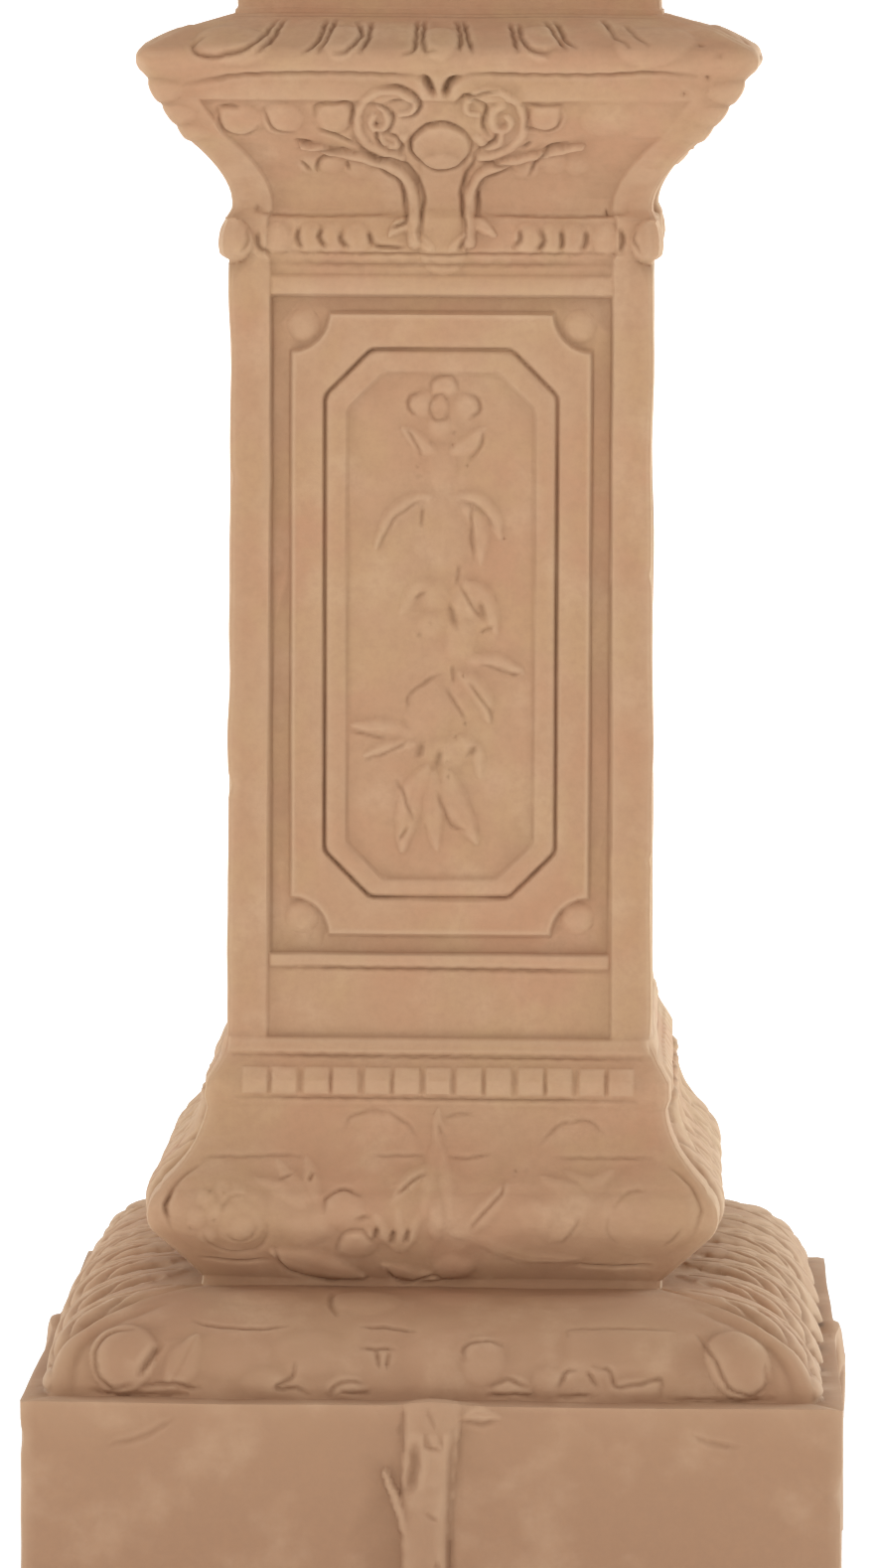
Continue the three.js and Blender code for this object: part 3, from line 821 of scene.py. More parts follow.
def carve_cushion_front(face):
    """Soft rosettes, fronds, berries and a leafy hem on the front of the upper cushion."""
    face.settle()
    for side in (-1, 1):
        face.dome(side * 119, 211, 27, 32, 2.4, power=0.7)
    leaves(face, CUSHION_LEAVES, vein=0.35)
    domes(face, CUSHION_BUDS)
    domes(face, HANGING_LOBES, power=0.9)
    face.leaf([(8, 199), (21, 197), (34, 191), (50, 184), (80, 183)], 12, 1.4)
    face.wear(0, 212, 160, 62, 0.8, soft=2.0)
    carve_rosettes(face)
    face.roughen(0, 205, 150, 60, 0.30, 4.5, 41)
    face.cut([(-57, 163), (-57, 160), (-53, 156)], width=2.4, depth=1.2, dark=0.4)
    strokes(face, CAVETTO_STROKES, width=1.9, depth=0.9, dark=0.45)
    strokes(face, CUSHION_STROKES, width=2.0, depth=1.4, dark=0.5)
    corner = [(-130, 234), (-139, 228), (-145, 221), (-148, 214), (-147, 207), (-145, 201)]
    strokes(face, both_halves([corner]), width=1.8, depth=1.0, dark=0.4)
    face.cut(corner[2:5], width=2.4, depth=1.6, dark=0.75)
    for x, z in [(-24, 197), (-16, 198), (-33, 199)]:
        face.cut([(x - 0.8, z - 4), (x + 0.8, z + 3)], width=2.4, depth=2.0, dark=0.75)
    pits(face, [(44, 232), (50, 232), (43, 229), (38, 227)], 0.9, 0.9, 0.5)


def carve_cushion_side(face):
    """Bold ribbed leaves over the upper cushion, as the sides keep them."""
    face.settle()
    for x in range(-100, 101, 50):
        midrib = [(0.84 * x, 180), (x, 206), (0.94 * x, 238), (0.88 * x, 266)]
        face.leaf(midrib, 50, 1.8, vein=1.2, curl=4.5)
        for side in (-1, 1):
            for z in (188, 203, 218, 233):
                fold = [(x + 2 * side, z), (0.98 * x + 10 * side, z + 6), (0.96 * x + 18 * side, z + 16)]
                face.cut(fold, width=3.0, depth=1.7, dark=0.4)
    for x in range(-125, 126, 50):
        face.cut([(0.84 * x, 184), (x, 208), (0.93 * x, 242)], width=5.0, depth=3.4, dark=0.55)
    for x in (-75, -25, 25, 75):
        face.dome(x, 256, 12, 11, 4.2)


FOOT_STROKES = [
    [(-131, 154), (-121, 152), (-106, 151), (-91, 151), (-80, 152)],
    [(-39, 152), (-24, 152), (-10, 150)],
    [(-162, 149), (-174, 147), (-181, 142), (-183, 136), (-183, 132), (-180, 125), (-173, 121), (-164, 124)],
    [(147, 150), (151, 145), (157, 135), (162, 125), (171, 121), (178, 122), (183, 128), (183, 136)],
    [(-187, 120), (-172, 118), (-152, 118), (-134, 118)],
    [(130, 118), (142, 118), (165, 118), (187, 119)],
    [(-158, 123), (-141, 124), (-133, 122), (-127, 122)],
    [(-75, 135), (-76, 129), (-85, 122), (-74, 122), (-67, 119)],
    [(-39, 143), (-21, 143)],
    [(-31, 142), (-29, 134)],
    [(-24, 141), (-25, 134)],
    [(-57, 118), (-53, 123), (-47, 126), (-37, 125)],
    [(-49, 120), (-34, 120)],
    [(17, 137), (18, 144), (29, 146), (38, 145)],
    [(31, 124), (41, 128), (52, 124)],
    [(30, 119), (45, 120), (57, 119)],
    [(69, 119), (87, 120)],
    [(69, 124), (73, 132), (79, 133)],
    [(85, 132), (90, 125)],
    [(88, 135), (97, 133), (100, 125), (111, 126), (120, 128), (125, 129), (125, 121)],
]


FOOT_SWELLS = [
    (-112, 141, 24, 17, 1.4),
    (-66, 141, 20, 15, 1.3),
    (-92, 125, 13, 9, 1.5),
    (-47, 123, 12, 7, 1.7),
    (27, 138, 13, 15, 2.2),
    (44, 124, 11, 7, 1.6),
    (63, 127, 9, 9, 1.6),
    (112, 124, 15, 7, 1.5),
]


def carve_foot_front(face):
    """Eggs at the ends of the foot, with worn leaves and a rib between them."""
    face.settle()
    for side in (-1, 1):
        face.dome(side * 168, 138, 18, 22, 4.4, turn=side * 20)
    face.leaf([(-143, 123), (-136, 134), (-128, 147)], 19, 1.8)
    domes(face, FOOT_SWELLS, power=0.8)
    face.slab(29, 131, 151, 1.0, middle=103, soft=4.0)
    face.dome(1, 140, 19, 36, 2.2, power=1.5)
    face.roughen(0, 138, 175, 38, 0.30, 4.5, 42)
    rim = [(-197, 118), (-196, 130), (-191, 141), (-180, 150), (-163, 156), (-146, 160)]
    strokes(face, both_halves([rim]), width=5.0, depth=1.3, dark=0.1)
    strokes(face, FOOT_STROKES, width=2.0, depth=1.4, dark=0.55)
    face.cut([(-148, 143), (-153, 137), (-159, 129)], width=3.0, depth=2.4, dark=0.75)
    face.cut([(74, 149), (76, 152), (104, 152.5), (134, 152)], width=1.8, depth=0.9, dark=0.35)


def carve_foot_side(face):
    """Crisp ribbed leaves that roll over the foot and droop at their tips, as the sides keep them."""
    face.settle()
    pitch = 56
    for x in range(-3 * pitch, 3 * pitch + 1, pitch):
        full = 1.0 - 0.5 * (x / (3 * pitch)) ** 2
        midrib = [(0.8 * x, 163), (0.93 * x, 154), (x, 141), (1.03 * x, 119)]
        face.leaf(midrib, 58, 1.6 * full, vein=1.4, curl=8.0 * full)
        for side in (-1, 1):
            for start, end in ((160, 151), (155, 143), (148, 131)):
                middle = (0.96 * x + 12 * side, 0.5 * (start + end))
                fold = [(0.9 * x + 3 * side, start), middle, (x + 20 * side, end)]
                face.cut(fold, width=3.6, depth=2.4, dark=0.4)
    for x in np.arange(-3.5 * pitch, 3.6 * pitch, pitch):
        face.dome(x, 121, 13, 9, 4.5)
        face.cut([(0.8 * x, 162), (0.94 * x, 151), (x, 128)], width=6.0, depth=4.0, dark=0.5)


def carve_plinth(face):
    """A knotty stalk with a cut twig up the middle of the plinth."""
    face.settle()
    face.cord([(-3, -4), (-3, 40), (-2, 70), (0, 95), (1, 112)], 25, 6.5, root=1.0, tip=1.25)
    face.wear(1, 116.5, 48, 30, 1.0, soft=8.0)
    face.cord([(-6, 18), (-13, 48), (-25, 80)], 11, 4.5, root=1.0, tip=0.4)
    strokes(face, [[(-12, 71), (-9.5, 82), (-9, 94)]], width=5.5, depth=2.8, dark=0.55)
    strokes(face, [[(10.5, 10), (10, 60), (12, 104)]], width=3.2, depth=1.2, dark=0.35)
    knots = [[(-2, 58), (3, 54)], [(-3, 102), (0, 94)], [(3, 30), (5, 22)]]
    strokes(face, knots, width=2.0, depth=0.9, dark=0.3)


SPRAY_LEAVES = [
    ([(-3, 627), (-11, 632), (-21, 641)], 10, 2.16),
    ([(5, 627), (14, 631), (24, 641)], 10, 2.16),
    ([(-5, 603), (-16, 600), (-27, 592), (-36, 575)], 10, 2.16),
    ([(8, 603), (20, 601), (28, 593), (33, 580)], 10, 2.16),
    ([(12, 598), (22, 585), (22, 566)], 9, 1.92),
    ([(14, 556), (25, 546), (31, 528)], 11, 2.4),
    ([(-6, 556), (-15, 550), (-22, 538)], 9, 1.92),
    ([(15, 512), (30, 512), (46, 506)], 10, 2.16),
    ([(11, 505), (22, 495), (27, 479)], 12, 2.16),
    ([(-14, 471), (-30, 475), (-49, 476)], 9, 1.92),
    ([(-14, 466), (-28, 464), (-42, 459)], 8, 1.92),
    ([(-7, 453), (-16, 435), (-21, 407)], 15, 2.64),
    ([(-3, 450), (-4, 430), (-2, 408)], 12, 2.4),
    ([(3, 451), (9, 433), (20, 412)], 15, 2.64),
    ([(10, 470), (20, 462), (22, 448)], 9, 1.92),
]
SPRAY_BUDS = [
    (2, 664, 8.5, 7, 2.64),
    (-10.5, 654, 7.5, 7.5, 2.4),
    (14, 653, 7.5, 7.5, 2.4),
    (-1, 642, 7, 6.5, 2.16),
    (0, 618, 9, 14, 2.16),
    (3, 582, 12, 22, 2.4),
    (-3, 548, 9, 9, 2.16),
    (13, 546, 9, 10, 2.16),
    (-5, 532, 8, 8, 1.92),
    (11, 524, 9, 13, 2.16),
    (-7, 485, 14, 17, 2.64),
    (6, 461, 10, 9, 2.16),
]
SPRAY_STROKES = [
    [(-6, 661), (-5, 667), (1, 670), (7, 668), (10, 662)],
    [(-11, 661), (-17, 658), (-18, 651), (-13, 647)],
    [(14, 660), (20, 657), (21, 650), (16, 646)],
    [(-19, 640), (-14, 633), (-11, 624)],
    [(23, 639), (22, 631), (15, 622)],
    [(-9, 601), (-16, 598), (-26, 590), (-31, 581), (-35, 573)],
    [(11, 601), (19, 598), (26, 591), (29, 586)],
    [(17, 598), (17, 581), (18, 568)],
    [(-10, 597), (-11, 587)],
    [(10, 564), (9, 555)],
    [(-14, 546), (-11, 549), (-8, 550)],
    [(11, 554), (17, 543), (23, 536)],
    [(22, 528), (29, 531)],
    [(22, 510), (31, 508), (40, 505), (45, 506)],
    [(1, 505), (-9, 500), (-17, 493), (-19, 485)],
    [(4, 496), (8, 489), (14, 480)],
    [(16, 500), (22, 492), (28, 484), (29, 479)],
    [(7, 509), (7, 500)],
    [(-49, 473), (-42, 471), (-31, 469)],
    [(-18, 468), (-25, 463), (-32, 460), (-41, 457)],
    [(-24, 445), (-20, 438), (-15, 424)],
    [(-18, 420), (-22, 413)],
    [(-2, 440), (2, 430), (6, 421), (14, 418)],
]
SPRAY_SLOTS = [
    [(5, 543), (8, 532)],
    [(22, 544), (24, 536)],
    [(-10, 466), (-12, 459)],
    [(0, 462), (-2, 454)],
    [(19, 464), (17, 460)],
]
SPRAY_PITS = [(-22, 637), (-6, 633), (7, 638), (6, 631), (14, 620), (-13, 619), (-12, 614), (35, 580),
              (-5, 533), (-12, 526), (13, 504), (14, 477), (9, 470), (4, 456), (5, 448)]


# Marks on the front's stalk, plinth and capital
STALK_EDGES = [[(17, 108.5), (27, 107), (35, 108.5)], [(-15, 113), (-16, 106), (-17, 101)]]
STALK_STROKES = [[(-2, 114), (2, 106)], [(5, 102), (6, 95)], [(-3, 100), (-2, 95), (5, 93)]]
PLINTH_SCORES = [[(-175, 93), (-160, 97), (-148, 103), (-140, 108)], [(141, 102), (150, 98), (167, 95)]]
CAPITAL_CHIPS = [(101, 849), (138, 851), (148, 846), (130, 824), (142, 833)]
# Chips on the four arrises, front left first, as (height, size, depth)
ARRIS_CHIPS = [
    [(443, 4.5, 1.6), (612, 3.5, 1.0), (838, 5.0, 2.0), (96, 6.0, 1.4)],
    [(560, 4.0, 1.0), (300, 5.0, 1.2), (70, 7.0, 1.6), (402, 3.0, 0.9)],
    [(520, 5.0, 1.4), (104, 6.0, 1.6)],
    [(640, 4.0, 1.2), (60, 6.0, 1.4)],
]


class COLUMN_OT_faces(bpy.types.Operator):
    """Copy the face to all four sides and finish the front, the sides and the back"""

    bl_idname = "column.faces"
    bl_label = "Finish Four Faces"

    def execute(self, context):
        front = FACES[0]
        others = [front.copy() for _ in range(3)]
        self.finish_front(front)
        left_half = [EGG_STROKES, LIP_STROKES, TONGUE_STROKES, VOLUTE_STROKES, BRANCH_STROKES, BEAD_STROKES]
        for face in others:
            carve_capital_lines(face, [[mirrored(line) for line in lines] for lines in left_half])
            carve_cushion_side(face)
            carve_foot_side(face)
        FACES[:] = [front] + others
        for seed, face in enumerate(FACES):
            self.press_unevenly(face, seed)
        return {"FINISHED"}

    def finish_front(self, face):
        """The spray of flowers, the strokes of the foot and the rubbed places of the front."""
        face.settle()
        leaves(face, SPRAY_LEAVES, vein=0.4)
        domes(face, SPRAY_BUDS, power=0.8)
        face.settle()
        face.dome(0, 653, 4.8, 5.2, 1.3)
        face.wear(0, 530, 60, 170, 0.8, soft=1.9)
        face.roughen(2, 530, 46, 150, 0.22, 4.0, 43)
        strokes(face, SPRAY_STROKES, width=1.8, depth=1.0, dark=0.5)
        strokes(face, SPRAY_SLOTS, width=3.2, depth=1.6, dark=0.6)
        face.ring(-1, 652, 5.4, 7.2, width=1.7, depth=0.9, dark=0.45)
        pits(face, SPRAY_PITS, 1.0, 0.9, 0.5)
        right_half = [EGG_STROKES_RIGHT, LIP_STROKES_RIGHT, TONGUE_STROKES_RIGHT, VOLUTE_STROKES_RIGHT,
                      BRANCH_STROKES_RIGHT, BEAD_STROKES_RIGHT]
        carve_capital_lines(face, right_half)
        carve_cushion_front(face)
        carve_foot_front(face)
        face.leaf([(17, 111), (27, 112.5), (37, 110)], 8, 1.2)
        strokes(face, STALK_EDGES, width=2.4, depth=1.0, dark=0.4)
        strokes(face, STALK_STROKES, width=1.8, depth=0.9, dark=0.3)
        strokes(face, PLINTH_SCORES, width=2.2, depth=0.9, dark=0.3)
        pits(face, CAPITAL_CHIPS, 1.6, 1.8, 0.8)
        face.wear(105, 811, 42, 22, 0.85)
        face.wear(112, 856, 30, 18, 0.6)
        face.wear(70, 205, 45, 26, 0.5)

    def press_unevenly(self, face, index):
        """Hand-pressed unevenness, worn and chipped arrises, a soft skin over the tool marks, and a painted
        highlight on the edges and painted shade in the hollows.
        """
        wobble = bpy.context.scene.column_finish.wobble / MM
        cell = face.along[1]
        shape = face.height.shape
        from_corner = face.half[:, None] * (1.0 - np.abs(face.across))[None, :]
        inland = np.clip(from_corner / 8.0, 0.0, 1.0)
        face.height = blurred(face.height, 0.5 / cell)
        self.paint_wear_and_shade(face, from_corner)
        face.height += inland * wobble * drift(shape, 22 / cell, 10 + index)
        at_knob = soft_step(np.abs(face.z - KNOB_Z) - 12, 1.5)
        radius = (sizes()["arris_round"] + KNOB_ROUND * at_knob)[:, None]
        inset = np.clip(radius - np.maximum(from_corner, 0.293 * radius), 0.0, None)
        face.height -= radius - np.sqrt(radius**2 - inset**2)
        for half, corner in ((face.across < 0, index), (face.across >= 0, (index + 1) % 4)):
            edge = np.where(half[None, :], from_corner, 1000.0)
            face.height += wobble * drift((shape[0], 1), 14 / cell, 30 + corner) * np.exp(-edge / 18.0)
            for z, size, depth in ARRIS_CHIPS[corner]:
                away = (edge / size) ** 2 + ((face.along[:, None] - face.up(z)) / size) ** 2
                face.height -= depth * np.exp(-away)

    def paint_wear_and_shade(self, face, from_corner):
        """Find the high edges and the hollows of the finished relief: the edges get a pale painted
        highlight, partly wear, and the hollows get painted shade.
        """
        cell = face.along[1]
        crispness = face.height - blurred(face.height, 2.5 / cell)
        slope = np.unwrap(np.arctan2(face.normal[:, 1], face.normal[:, 0]))
        turning = np.gradient(slope, face.along)[:, None]
        # Pale painted highlight on raised edges, outward turns of the profile and the arrises, partly wear.
        edges = np.clip(crispness / 0.7, 0.0, 1.0) + np.clip(2.0 * turning, 0.0, 0.6)
        # Painted shade in the hollows and inward turns of the profile, as under the lip and the cushion.
        hollow_shade = 0.4 * np.clip(-crispness / 0.9, 0.0, 1.0) + np.clip(-2.0 * turning, 0.0, 0.06)
        face.wear_and_highlight = np.clip(edges + 0.8 * np.exp(-((from_corner / 4.0) ** 2)), 0.0, 1.0)
        face.painted_shade = np.clip(np.maximum(face.painted_shade, hollow_shade), 0.0, 1.0)


# How far from a corner, in mm, the clay follows the corner's own height
CORNER_REACH = 14.0
# How far the flanks of the pressed clay lean to the right, as (height, shift)
SIDE_SWAY = [
    (0, 0), (120, 0), (150, -3.5), (166, -3.5), (208, -2), (290, 0), (745, 0), (800, 2), (842, 4), (900, 3)
]


class COLUMN_OT_press(bpy.types.Operator):
    """Press the four carved faces into one closed column"""

    bl_idname = "column.press"
    bl_label = "Press Column"

    def execute(self, context):
        bpy.ops.object.select_all(action="DESELECT")
        panels = [self.face_grid(index) for index in range(4)]
        for panel in panels:
            panel.select_set(True)
        context.view_layer.objects.active = panels[0]
        bpy.ops.object.join()
        column = context.view_layer.objects.active
        column.name = PIECE
        column.data.name = PIECE
        bpy.ops.object.mode_set(mode="EDIT")
        bpy.ops.mesh.select_all(action="SELECT")
        bpy.ops.mesh.remove_doubles(threshold=2e-5)
        bpy.ops.mesh.fill_holes(sides=0)
        bpy.ops.mesh.select_all(action="SELECT")
        bpy.ops.mesh.normals_make_consistent(inside=False)
        bpy.ops.object.mode_set(mode="OBJECT")
        self.thin(column)
        bpy.ops.object.shade_smooth_by_angle(angle=math.radians(38))
        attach(column, "root")
        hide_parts(NODE)
        return {"FINISHED"}

    def face_grid(self, index):
        """One face as a grid, shaped by its relief and turned to its side of the column."""
        face = FACES[index]
        rows, columns = face.height.shape
        bpy.ops.mesh.primitive_grid_add(x_subdivisions=columns - 1, y_subdivisions=rows - 1, size=2.0)
        panel = bpy.context.view_layer.objects.active
        mesh = panel.data
        if len(mesh.vertices) != rows * columns:
            raise RuntimeError("the grid doesn't match the relief")
        flat = np.empty(len(mesh.vertices) * 3)
        mesh.vertices.foreach_get("co", flat)
        column_of = np.rint((flat[0::3] + 1.0) / 2.0 * (columns - 1)).astype(int)
        row_of = np.rint((flat[1::3] + 1.0) / 2.0 * (rows - 1)).astype(int)
        corner = self.corner_height(index), self.corner_height((index + 1) % 4)
        height = face.height.copy()
        height[:, 0], height[:, -1] = corner
        outward = face.normal[:, :1]
        x = face.half[:, None] * face.across[None, :]
        for side, lift in zip((-1, 1), corner):
            from_corner = face.half[:, None] * (1.0 - side * face.across)[None, :]
            x = x + side * outward * lift[:, None] * np.exp(-from_corner / CORNER_REACH)
        y = -(face.half[:, None] + outward * height)
        z = face.z[:, None] + face.normal[:, 1:] * height
        placed = np.stack([grid[row_of, column_of] for grid in (x, y, z)], axis=1) * MM
        turned = placed @ np.array(Matrix.Rotation(math.pi / 2 * index, 3, "Z")).T
        heights, sways = np.transpose(SIDE_SWAY) * MM
        flank = np.clip((turned[:, 0] / np.interp(placed[:, 2], face.z * MM, face.half * MM)) ** 2, 0.0, 1.1)
        turned[:, 0] += flank * np.interp(turned[:, 2], heights, sways)
        mesh.vertices.foreach_set("co", turned.ravel())
        # The painted shade and the painted edge highlight ride along as vertex attributes.
        for name, values in (("painted_hollow_shade", face.painted_shade), ("worn_and_highlit_edges", face.wear_and_highlight)):
            attribute = mesh.attributes.new(name, "FLOAT", "POINT")
            attribute.data.foreach_set("value", values[row_of, column_of])
        return panel

    def corner_height(self, index):
        """Height at the corner on the left of a face, shared with the face before it."""
        return 0.5 * (FACES[index].height[:, 0] + FACES[index - 1].height[:, -1])

    def thin(self, column):
        """Thin the flat clay until the column is light enough, keeping the carving."""
        limit = bpy.context.scene.column_finish.triangles
        count = sum(len(polygon.vertices) - 2 for polygon in column.data.polygons)
        decimate = column.modifiers.new("Thin flat clay", "DECIMATE")
        decimate.ratio = min(1.0, limit / count)
        decimate.use_collapse_triangulate = True
        bpy.ops.object.modifier_apply(modifier=decimate.name)


class COLUMN_OT_clay(bpy.types.Operator):
    """Give the column its matte fired clay"""

    bl_idname = "column.clay"
    bl_label = "Fire Clay"

    def execute(self, context):
        finish = context.scene.column_finish
        material = bpy.data.materials.new("fired_clay")
        material.use_nodes = True
        nodes = material.node_tree.nodes
        links = material.node_tree.links
        shader = nodes["Principled BSDF"]
        shader.inputs["Specular IOR Level"].default_value = 0.25
        place = nodes.new("ShaderNodeTexCoord").outputs["Object"]

        def noise(scale, detail, roughness=0.55):
            node = nodes.new("ShaderNodeTexNoise")
            node.inputs["Scale"].default_value = scale
            node.inputs["Detail"].default_value = detail
            node.inputs["Roughness"].default_value = roughness
            links.new(place, node.inputs["Vector"])
            return node.outputs["Fac"]

        def band(value, low, high):
            node = nodes.new("ShaderNodeMapRange")
            node.interpolation_type = "SMOOTHSTEP"
            node.inputs["From Min"].default_value = low
            node.inputs["From Max"].default_value = high
            links.new(value, node.inputs["Value"])
            return node.outputs["Result"]

        def scaled(value, amount):
            node = nodes.new("ShaderNodeMath")
            node.operation = "MULTIPLY"
            node.inputs[1].default_value = amount
            links.new(value, node.inputs[0])
            return node.outputs["Value"]

        def mixed(share, first, second):
            node = nodes.new("ShaderNodeMix")
            node.data_type = "RGBA"
            links.new(share, node.inputs["Factor"])
            for socket, value in ((node.inputs["A"], first), (node.inputs["B"], second)):
                if isinstance(value, bpy.types.NodeSocket):
                    links.new(value, socket)
                else:
                    socket.default_value = (*value, 1.0)
            return node.outputs["Result"]

        def attribute(name):
            node = nodes.new("ShaderNodeAttribute")
            node.attribute_name = name
            return node.outputs["Fac"]

        height = nodes.new("ShaderNodeSeparateXYZ")
        links.new(place, height.inputs["Vector"])
        tone = mixed(band(noise(9.0, 5.0), 0.40, 0.66), finish.clay, finish.blush)
        tone = mixed(scaled(band(noise(21.0, 3.0), 0.46, 0.62), 0.55), tone, finish.straw)
        # Painted shade: darker towards the foot, where less light falls.
        tone = mixed(band(height.outputs["Z"], 0.30, 0.04), tone, finish.foot_shade)
        tone = mixed(scaled(band(noise(26.0, 6.0), 0.48, 0.72), 0.30), tone, finish.bloom_and_highlight)
        tone = mixed(scaled(band(noise(190.0, 5.0, 0.7), 0.36, 0.70), 0.42), tone, finish.grit)
        # Painted highlight: pale colour on raised edges and arrises, partly wear.
        tone = mixed(scaled(attribute("worn_and_highlit_edges"), 0.35), tone, finish.bloom_and_highlight)
        # Painted shade: dark colour in the grooves, recess edges and hollows.
        tone = mixed(scaled(attribute("painted_hollow_shade"), 0.8), tone, finish.groove)
        links.new(tone, shader.inputs["Base Color"])
        dryness = nodes.new("ShaderNodeMapRange")
        dryness.inputs["To Min"].default_value = 0.82
        dryness.inputs["To Max"].default_value = 0.97
        links.new(noise(60.0, 4.0), dryness.inputs["Value"])
        links.new(dryness.outputs["Result"], shader.inputs["Roughness"])
        drag = nodes.new("ShaderNodeMapping")
        drag.inputs["Scale"].default_value = (0.05, 0.05, 1.0)
        links.new(place, drag.inputs["Vector"])
        drag_lines = nodes.new("ShaderNodeTexNoise")
        drag_lines.inputs["Scale"].default_value = 330.0
        links.new(drag.outputs["Vector"], drag_lines.inputs["Vector"])
        skin = nodes.new("ShaderNodeBump")
        skin.inputs["Strength"].default_value = 0.20
        skin.inputs["Distance"].default_value = 0.0006
        links.new(drag_lines.outputs["Fac"], skin.inputs["Height"])
        grain = nodes.new("ShaderNodeBump")
        grain.inputs["Strength"].default_value = 0.35
        grain.inputs["Distance"].default_value = 0.0006
        links.new(noise(420.0, 5.0, 0.65), grain.inputs["Height"])
        links.new(skin.outputs["Normal"], grain.inputs["Normal"])
        links.new(grain.outputs["Normal"], shader.inputs["Normal"])
        column = bpy.data.objects[PIECE]
        column.data.materials.clear()
        column.data.materials.append(material)
        return {"FINISHED"}


MIDDLE = (0.0, 0.0, 0.45)
WALL_MIDDLE = (0.0, 8.0, 0.6)
WHITE = (1.0, 1.0, 1.0)
COOL_WHITE = (0.68, 0.88, 1.0)
# Soft lights, as place, target, size, share of the key light's power and tint
LIGHTS = {
    "key": ((-1.6, -3.3, 1.9), MIDDLE, 1.6, 1.0, WHITE),
    "fill": ((0.9, -3.9, 1.0), MIDDLE, 2.0, 0.34, WHITE),
    "top": ((0.0, -2.2, 3.3), MIDDLE, 2.4, 0.90, WHITE),
    "left flank": ((-2.6, 0.9, 1.1), MIDDLE, 2.0, 2.1, COOL_WHITE),
    "right flank": ((2.6, 0.9, 1.1), MIDDLE, 2.0, 3.5, COOL_WHITE),
    "wall": ((0.0, 3.2, 3.4), WALL_MIDDLE, 4.0, 8.0, WHITE),
}
SKY_STRENGTH = 0.45
PAPER_GLOW = 0.34


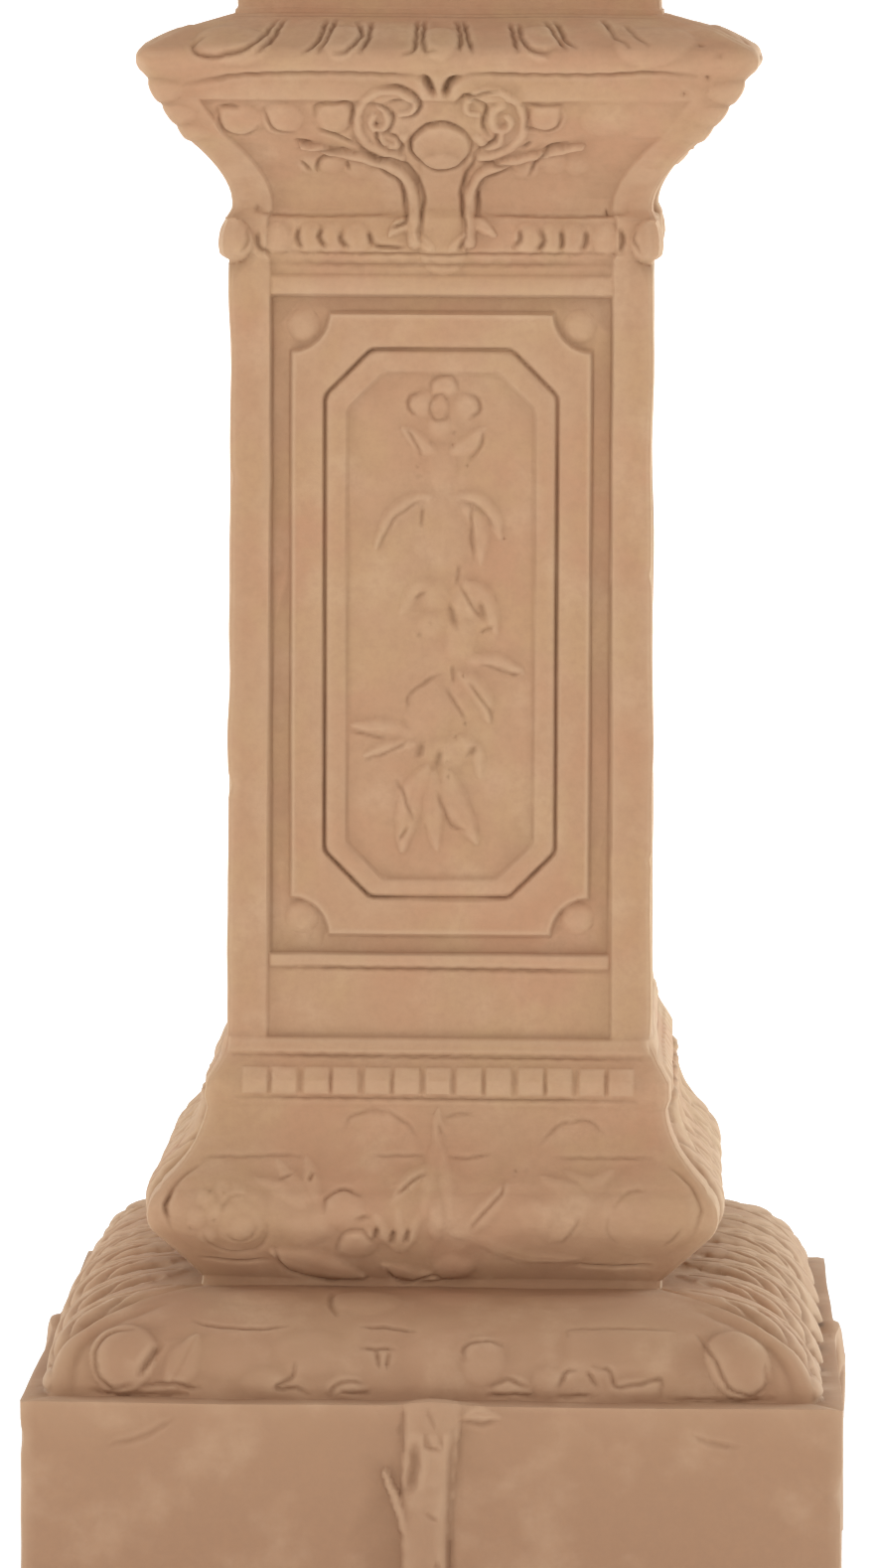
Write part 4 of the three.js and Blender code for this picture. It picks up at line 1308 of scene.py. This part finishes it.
class COLUMN_OT_stage(bpy.types.Operator):
    """Set the pale floor and backdrop, the soft lights and the camera"""

    bl_idname = "column.stage"
    bl_label = "Set Stage"

    def execute(self, context):
        view = context.scene.column_view
        self.backdrop()
        for name, (place, target, size, share, tint) in LIGHTS.items():
            self.light(name, place, target, size, share * view.key_power, tint)
        world = context.scene.world or bpy.data.worlds.new("World")
        context.scene.world = world
        world.use_nodes = True
        sky = world.node_tree.nodes["Background"]
        sky.inputs["Color"].default_value = (1.0, 0.98, 0.95, 1.0)
        sky.inputs["Strength"].default_value = SKY_STRENGTH
        context.scene.view_settings.view_transform = "Standard"
        self.camera(context, view)
        return {"FINISHED"}

    def backdrop(self):
        """A white sheet that runs from the floor up a wall behind the column."""
        bpy.ops.object.select_all(action="DESELECT")
        bpy.ops.mesh.primitive_plane_add(size=16.0, location=(0.0, 0.0, 0.0))
        sheet = bpy.context.view_layer.objects.active
        sheet.name = "stage_sheet"
        bpy.ops.object.mode_set(mode="EDIT")
        bpy.ops.mesh.select_mode(type="EDGE")
        bpy.ops.mesh.select_all(action="DESELECT")
        bpy.ops.object.mode_set(mode="OBJECT")
        for edge in sheet.data.edges:
            ends = [sheet.data.vertices[index].co.y for index in edge.vertices]
            edge.select = min(ends) > 7.9
        bpy.ops.object.mode_set(mode="EDIT")
        bpy.ops.mesh.extrude_region_move(TRANSFORM_OT_translate={"value": (0.0, 0.0, 6.0)})
        bpy.ops.object.mode_set(mode="OBJECT")
        paper = bpy.data.materials.new("white_paper")
        paper.use_nodes = True
        shader = paper.node_tree.nodes["Principled BSDF"]
        shader.inputs["Base Color"].default_value = (0.93, 0.93, 0.92, 1.0)
        shader.inputs["Roughness"].default_value = 0.95
        shader.inputs["Emission Color"].default_value = (1.0, 1.0, 1.0, 1.0)
        shader.inputs["Emission Strength"].default_value = PAPER_GLOW
        sheet.data.materials.append(paper)

    def light(self, name, place, target, size, power, tint):
        """A soft square light turned toward a target."""
        bpy.ops.object.select_all(action="DESELECT")
        bpy.ops.object.light_add(type="AREA", location=place)
        lamp = bpy.context.view_layer.objects.active
        lamp.name = name
        lamp.data.size = size
        lamp.data.energy = power
        lamp.data.color = tint
        lamp.rotation_euler = (Vector(target) - Vector(place)).to_track_quat("-Z", "Y").to_euler()

    def camera(self, context, view):
        """The photograph's viewpoint, level with the capital and looking a little down."""
        bpy.ops.object.select_all(action="DESELECT")
        place = Vector((math.sin(view.turn) * view.distance, -math.cos(view.turn) * view.distance, view.eye))
        bpy.ops.object.camera_add(location=place)
        camera = context.view_layer.objects.active
        camera.data.lens = view.lens
        camera.data.sensor_width = 36.0
        camera.data.sensor_fit = "AUTO"
        aim_off_axis = math.radians(0.08)
        level = Matrix.Rotation(view.turn + aim_off_axis, 3, "Z")
        looking_down = Matrix.Rotation(math.pi / 2 - view.tilt, 3, "X")
        leaning = Matrix.Rotation(view.roll, 3, "Z")
        camera.rotation_euler = (level @ looking_down @ leaning).to_euler()
        context.scene.camera = camera


class COLUMN_PT_panel(bpy.types.Panel):
    """Sidebar panel that lists the column's steps and values"""

    bl_idname = "COLUMN_PT_panel"
    bl_label = "Terracotta Column"
    bl_space_type = "VIEW_3D"
    bl_region_type = "UI"
    bl_category = "Column"

    def draw(self, context):
        layout = self.layout
        for step in STEPS:
            layout.operator(step.bl_idname)
        for group in ("column_sizes", "column_finish", "column_view"):
            box = layout.box()
            values = getattr(context.scene, group)
            for key in values.__annotations__:
                box.prop(values, key)


STEPS = (
    COLUMN_OT_mould,
    COLUMN_OT_shaft_panel,
    COLUMN_OT_capital,
    COLUMN_OT_base,
    COLUMN_OT_faces,
    COLUMN_OT_press,
    COLUMN_OT_clay,
    COLUMN_OT_stage,
)
GROUPS = {"column_sizes": ColumnSizes, "column_finish": ColumnFinish, "column_view": ColumnView}


def register():
    for group in GROUPS.values():
        bpy.utils.register_class(group)
    for name, group in GROUPS.items():
        setattr(bpy.types.Scene, name, bpy.props.PointerProperty(type=group))
    for step in STEPS:
        bpy.utils.register_class(step)
    bpy.utils.register_class(COLUMN_PT_panel)


def unregister():
    bpy.utils.unregister_class(COLUMN_PT_panel)
    for step in reversed(STEPS):
        bpy.utils.unregister_class(step)
    for name, group in GROUPS.items():
        delattr(bpy.types.Scene, name)
        bpy.utils.unregister_class(group)


def main():
    register()
    bpy.ops.column.mould()
    bpy.ops.column.shaft_panel()
    bpy.ops.column.capital()
    bpy.ops.column.base()
    bpy.ops.column.faces()
    bpy.ops.column.press()
    bpy.ops.column.clay()
    bpy.ops.column.stage()


if __name__ == "__main__":
    main()
